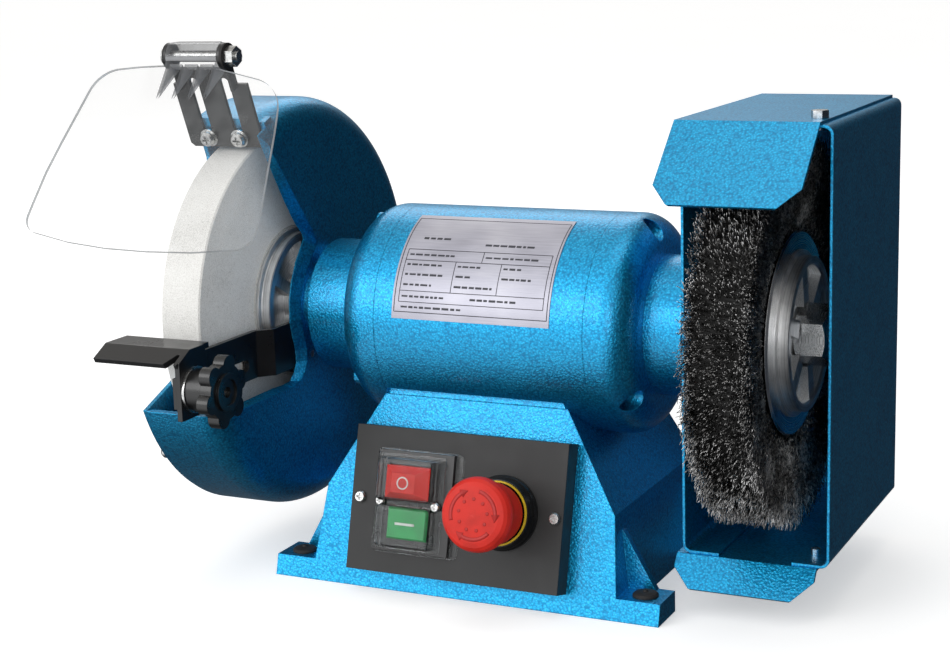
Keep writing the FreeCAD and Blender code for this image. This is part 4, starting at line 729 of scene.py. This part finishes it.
def brush_shade_core():
    """A lumpy turned body behind the outer wires, for the packed inner wires; its near-black colour is
    painted shade.
    """
    rings = 11
    around = 300
    one_side = []
    for k in range(rings):
        radius = CORE_FROM + (CORE_R - CORE_FROM) * k / (rings - 1)
        one_side.append((radius, profile(np.array(radius)) - 2.6))
    section = [(radius, -x) for radius, x in one_side]
    for k in range(1, 5):
        section.append((CORE_R + 0.6, -14.4 + 28.8 * k / 5))
    section += reversed(one_side)
    count = len(section)
    points = []
    for n in range(around):
        turn = 2 * math.pi * n / around
        for radius, x in section:
            rough = wire_chance.uniform(-1.1, 1.1) if radius > 50.0 else 0.0
            side_way = wire_chance.uniform(-0.9, 0.9) if radius > 50.0 else 0.0
            r = (radius + rough) * MM
            across = BRUSH_X * MM + (x + side_way) * MM
            points.append((across, r * math.cos(turn), AXIS_Z + r * math.sin(turn)))
    faces = []
    for n in range(around):
        a, b = n * count, ((n + 1) % around) * count
        for k in range(count):
            c = (k + 1) % count
            faces.append((a + k, b + k, b + c, a + c))
    return points, faces


def strands(count, start, end, share_low, share_high, steps, crimp, fat):
    """Crimped wires as thin three-sided tubes.

    They start and end at radii drawn from two ranges, each at its share of the brush's half width.
    """
    turn = wire_chance.uniform(0, 2 * math.pi, count)
    share = wire_chance.uniform(share_low, share_high, count)
    first = wire_chance.uniform(start[0], start[1], count)
    last = wire_chance.uniform(end[0], end[1], count)
    lean = wire_chance.normal(0.0, 0.035, count)
    t = np.linspace(0.0, 1.0, steps + 1)[None, :]
    radius = first[:, None] + (last - first)[:, None] * t
    x = share[:, None] * profile(radius) + wire_chance.normal(0.0, 0.8, count)[:, None] * t ** 2
    x = np.clip(x, -HALF + 0.3, HALF - 0.3)
    swing = wire_chance.normal(0.0, 1.0, (count, steps + 1))
    zig = np.where(np.arange(steps + 1)[None, :] % 2 == 0, 1.0, -1.0) * crimp
    way = wire_chance.uniform(0, math.pi, count)[:, None]
    tangential = lean[:, None] * (radius - first[:, None]) + zig * np.sin(way) + swing * 0.22
    x = np.clip(x + zig * np.cos(way) * 0.7 + swing * 0.15, -HALF + 0.25, HALF - 0.25)
    radius = np.minimum(radius + swing * 0.2, BRUSH_R - 0.3)
    cos, sin = np.cos(turn)[:, None], np.sin(turn)[:, None]
    y = radius * cos - tangential * sin
    z = radius * sin + tangential * cos
    centre = np.stack([BRUSH_X + x, y, AXIS_Z / MM + z], -1) * MM
    sideways = np.stack([np.zeros_like(cos), -sin, cos], -1)
    along = np.array([1.0, 0.0, 0.0])[None, None, :]
    thick = fat * MM
    rings = []
    for k in range(3):
        a = 2 * math.pi * k / 3
        rings.append(centre + thick * (math.cos(a) * along + math.sin(a) * sideways))
    ring = np.stack(rings, 2).reshape(-1, 3)
    width = (steps + 1) * 3
    base = (np.arange(count) * width)[:, None, None, None]
    s = (np.arange(steps) * 3)[None, :, None, None]
    quad = np.array([[0, 1, 4, 3], [1, 2, 5, 4], [2, 0, 3, 5]])[None, None, :, :]
    quads = (base + s + quad).reshape(-1, 4)
    caps = np.concatenate([
        (np.arange(count) * width)[:, None] + np.array([[2, 1, 0]]),
        (np.arange(count) * width + steps * 3)[:, None] + np.array([[0, 1, 2]]),
    ])
    return ring, quads, caps


def numpy_mesh(name, sets, material, body):
    """One mesh from many strand sets, filled in one go."""
    verts, quads, caps = [], [], []
    offset = 0
    for ring, q, c in sets:
        verts.append(ring)
        quads.append(q + offset)
        caps.append(c + offset)
        offset += len(ring)
    verts, quads, caps = np.concatenate(verts), np.concatenate(quads), np.concatenate(caps)
    mesh = bpy.data.meshes.new(name)
    mesh.vertices.add(len(verts))
    mesh.vertices.foreach_set("co", verts.ravel())
    loops = np.concatenate([quads.ravel(), caps.ravel()])
    mesh.loops.add(len(loops))
    mesh.loops.foreach_set("vertex_index", loops)
    starts = np.concatenate([np.arange(len(quads)) * 4, len(quads) * 4 + np.arange(len(caps)) * 3])
    mesh.polygons.add(len(starts))
    mesh.polygons.foreach_set("loop_start", starts)
    mesh.update(calc_edges=True)
    smooth = np.concatenate([np.ones(len(quads), bool), np.zeros(len(caps), bool)])
    mesh.polygons.foreach_set("use_smooth", smooth)
    mesh.materials.append(material)
    thing = bpy.data.objects.new(name, mesh)
    bpy.context.scene.collection.objects.link(thing)
    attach(thing, body)


points, faces = brush_shade_core()
# the core's near-black colour is painted shade: it makes the gaps between the wires look dark
SHADE_CORE = moulded("brush_painted_shade", (0.005, 0.0048, 0.0046), 0.7, grain=900.0, depth=0.0003)
core = mesh_piece("brush_shade_core", points, faces, SHADE_CORE, "rotor", smooth=False)
FACE_START, FACE_END = (52.0, 66.0), (88.0, 103.5)
RIM_START, RIM_END = (82.0, 90.0), (97.0, 103.7)
WIRE_R = 0.20
numpy_mesh(
    "brush_wires",
    [
        strands(3300, FACE_START, FACE_END, 0.72, 1.0, 14, 0.75, WIRE_R),
        strands(2300, FACE_START, FACE_END, -1.0, -0.72, 14, 0.75, WIRE_R),
        strands(8200, RIM_START, RIM_END, -0.98, 0.98, 5, 0.7, WIRE_R),
    ],
    LOOKS["brush_wire"], "rotor",
)
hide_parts("wire_brush")

# ---------------------------------------------------------------- floor, world and lamps
floor_mesh = bpy.data.meshes.new("floor")
REACH = 60.0
corners = [(-REACH, -REACH, 0.0), (REACH, -REACH, 0.0), (-REACH, REACH, 0.0), (REACH, REACH, 0.0)]
floor_mesh.from_pydata(corners, [], [(0, 1, 3, 2)])
floor = bpy.data.objects.new("floor", floor_mesh)
bpy.context.scene.collection.objects.link(floor)
pale = Look("floor_pale", (0.86, 0.86, 0.86), 0.7)
pale.colour(pale.ramp(pale.noise(3.0, 2.0), [(0.3, (0.85, 0.85, 0.85)), (0.7, (0.87, 0.87, 0.87))]))
pale.set("Emission Color", (1.0, 1.0, 1.0, 1.0))
pale.set("Emission Strength", 0.42)
floor_mesh.materials.append(pale.material)
floor.visible_diffuse = False
floor.visible_glossy = False

world = bpy.data.worlds.new("studio")
bpy.context.scene.world = world
world.use_nodes = True
tree = world.node_tree
tree.nodes.clear()


def world_node(kind, **settings):
    node = tree.nodes.new(kind)
    for key, value in settings.items():
        setattr(node, key, value)
    return node


direction = world_node("ShaderNodeTexCoord").outputs["Generated"]


def toward(vector, low, high):
    """1 where the direction points along the vector, 0 away from it."""
    dot = world_node("ShaderNodeVectorMath", operation="DOT_PRODUCT")
    dot.inputs[1].default_value = Vector(vector).normalized()
    tree.links.new(direction, dot.inputs[0])
    span_node = world_node("ShaderNodeMapRange", interpolation_type="SMOOTHSTEP")
    for key, value in (("From Min", low), ("From Max", high), ("To Min", 0.0), ("To Max", 1.0)):
        span_node.inputs[key].default_value = value
    tree.links.new(dot.outputs["Value"], span_node.inputs["Value"])
    return span_node.outputs["Result"]


def world_mix(fac, a, b):
    node = world_node("ShaderNodeMix", data_type="RGBA")
    tree.links.new(fac, node.inputs[0])
    for socket, value in ((node.inputs[6], a), (node.inputs[7], b)):
        if isinstance(value, tuple):
            socket.default_value = (*value, 1.0)
        else:
            tree.links.new(value, socket)
    return node.outputs[2]


# dim below and pale above, dark on the right, bright in front on the left
sky = world_mix(toward((0.0, 0.0, 1.0), -0.25, 0.75), (0.10, 0.105, 0.11), (0.66, 0.64, 0.61))
sky = world_mix(toward((1.0, 0.45, 0.0), 0.05, 0.65), sky, (0.02, 0.025, 0.035))
sky = world_mix(toward((-0.50, -0.85, 0.20), 0.30, 0.92), sky, (1.35, 1.37, 1.39))
# diffuse light alone gets a soft grey from the right, and the camera sees a plain pale backdrop
rays = world_node("ShaderNodeLightPath")
soft_side = world_mix(toward((1.0, -0.25, 0.1), 0.0, 0.8), sky, (0.62, 0.62, 0.62))
sky = world_mix(rays.outputs["Is Diffuse Ray"], sky, soft_side)
lit = world_node("ShaderNodeBackground")
tree.links.new(sky, lit.inputs["Color"])
lit.inputs["Strength"].default_value = 1.0
seen = world_node("ShaderNodeBackground")
seen.inputs["Color"].default_value = (0.93, 0.93, 0.93, 1.0)
seen.inputs["Strength"].default_value = 1.0
choose = world_node("ShaderNodeMixShader")
tree.links.new(rays.outputs["Is Camera Ray"], choose.inputs["Fac"])
tree.links.new(lit.outputs["Background"], choose.inputs[1])
tree.links.new(seen.outputs["Background"], choose.inputs[2])
tree.links.new(choose.outputs["Shader"], world_node("ShaderNodeOutputWorld").inputs["Surface"])


def softbox(name, at, target, width, height, power, colour=WHITE):
    """A rectangular lamp at a place, turned to its target."""
    lamp = bpy.data.lights.new(name, "AREA")
    lamp.shape = "RECTANGLE"
    lamp.size, lamp.size_y = width, height
    lamp.energy = power
    lamp.color = colour
    thing = bpy.data.objects.new(name, lamp)
    bpy.context.scene.collection.objects.link(thing)
    thing.location = at
    thing.rotation_euler = (Vector(target) - Vector(at)).to_track_quat("-Z", "Y").to_euler()


softbox("key", (-1.3, -1.9, 1.1), (0.0, 0.0, 0.13), 1.5, 1.2, 13.0)
softbox("front", (0.55, -2.3, 0.75), (0.05, 0.0, 0.12), 1.1, 1.0, 5.0)
softbox("overhead", (0.1, -0.1, 2.3), (0.0, 0.0, 0.1), 1.4, 1.2, 6.0, (1.0, 0.98, 0.95))
softbox("behind", (-0.9, 1.7, 1.5), (0.0, 0.0, 0.15), 1.6, 1.0, 7.0)

bpy.context.scene.view_settings.view_transform = "Standard"
bpy.context.scene.view_settings.look = "None"
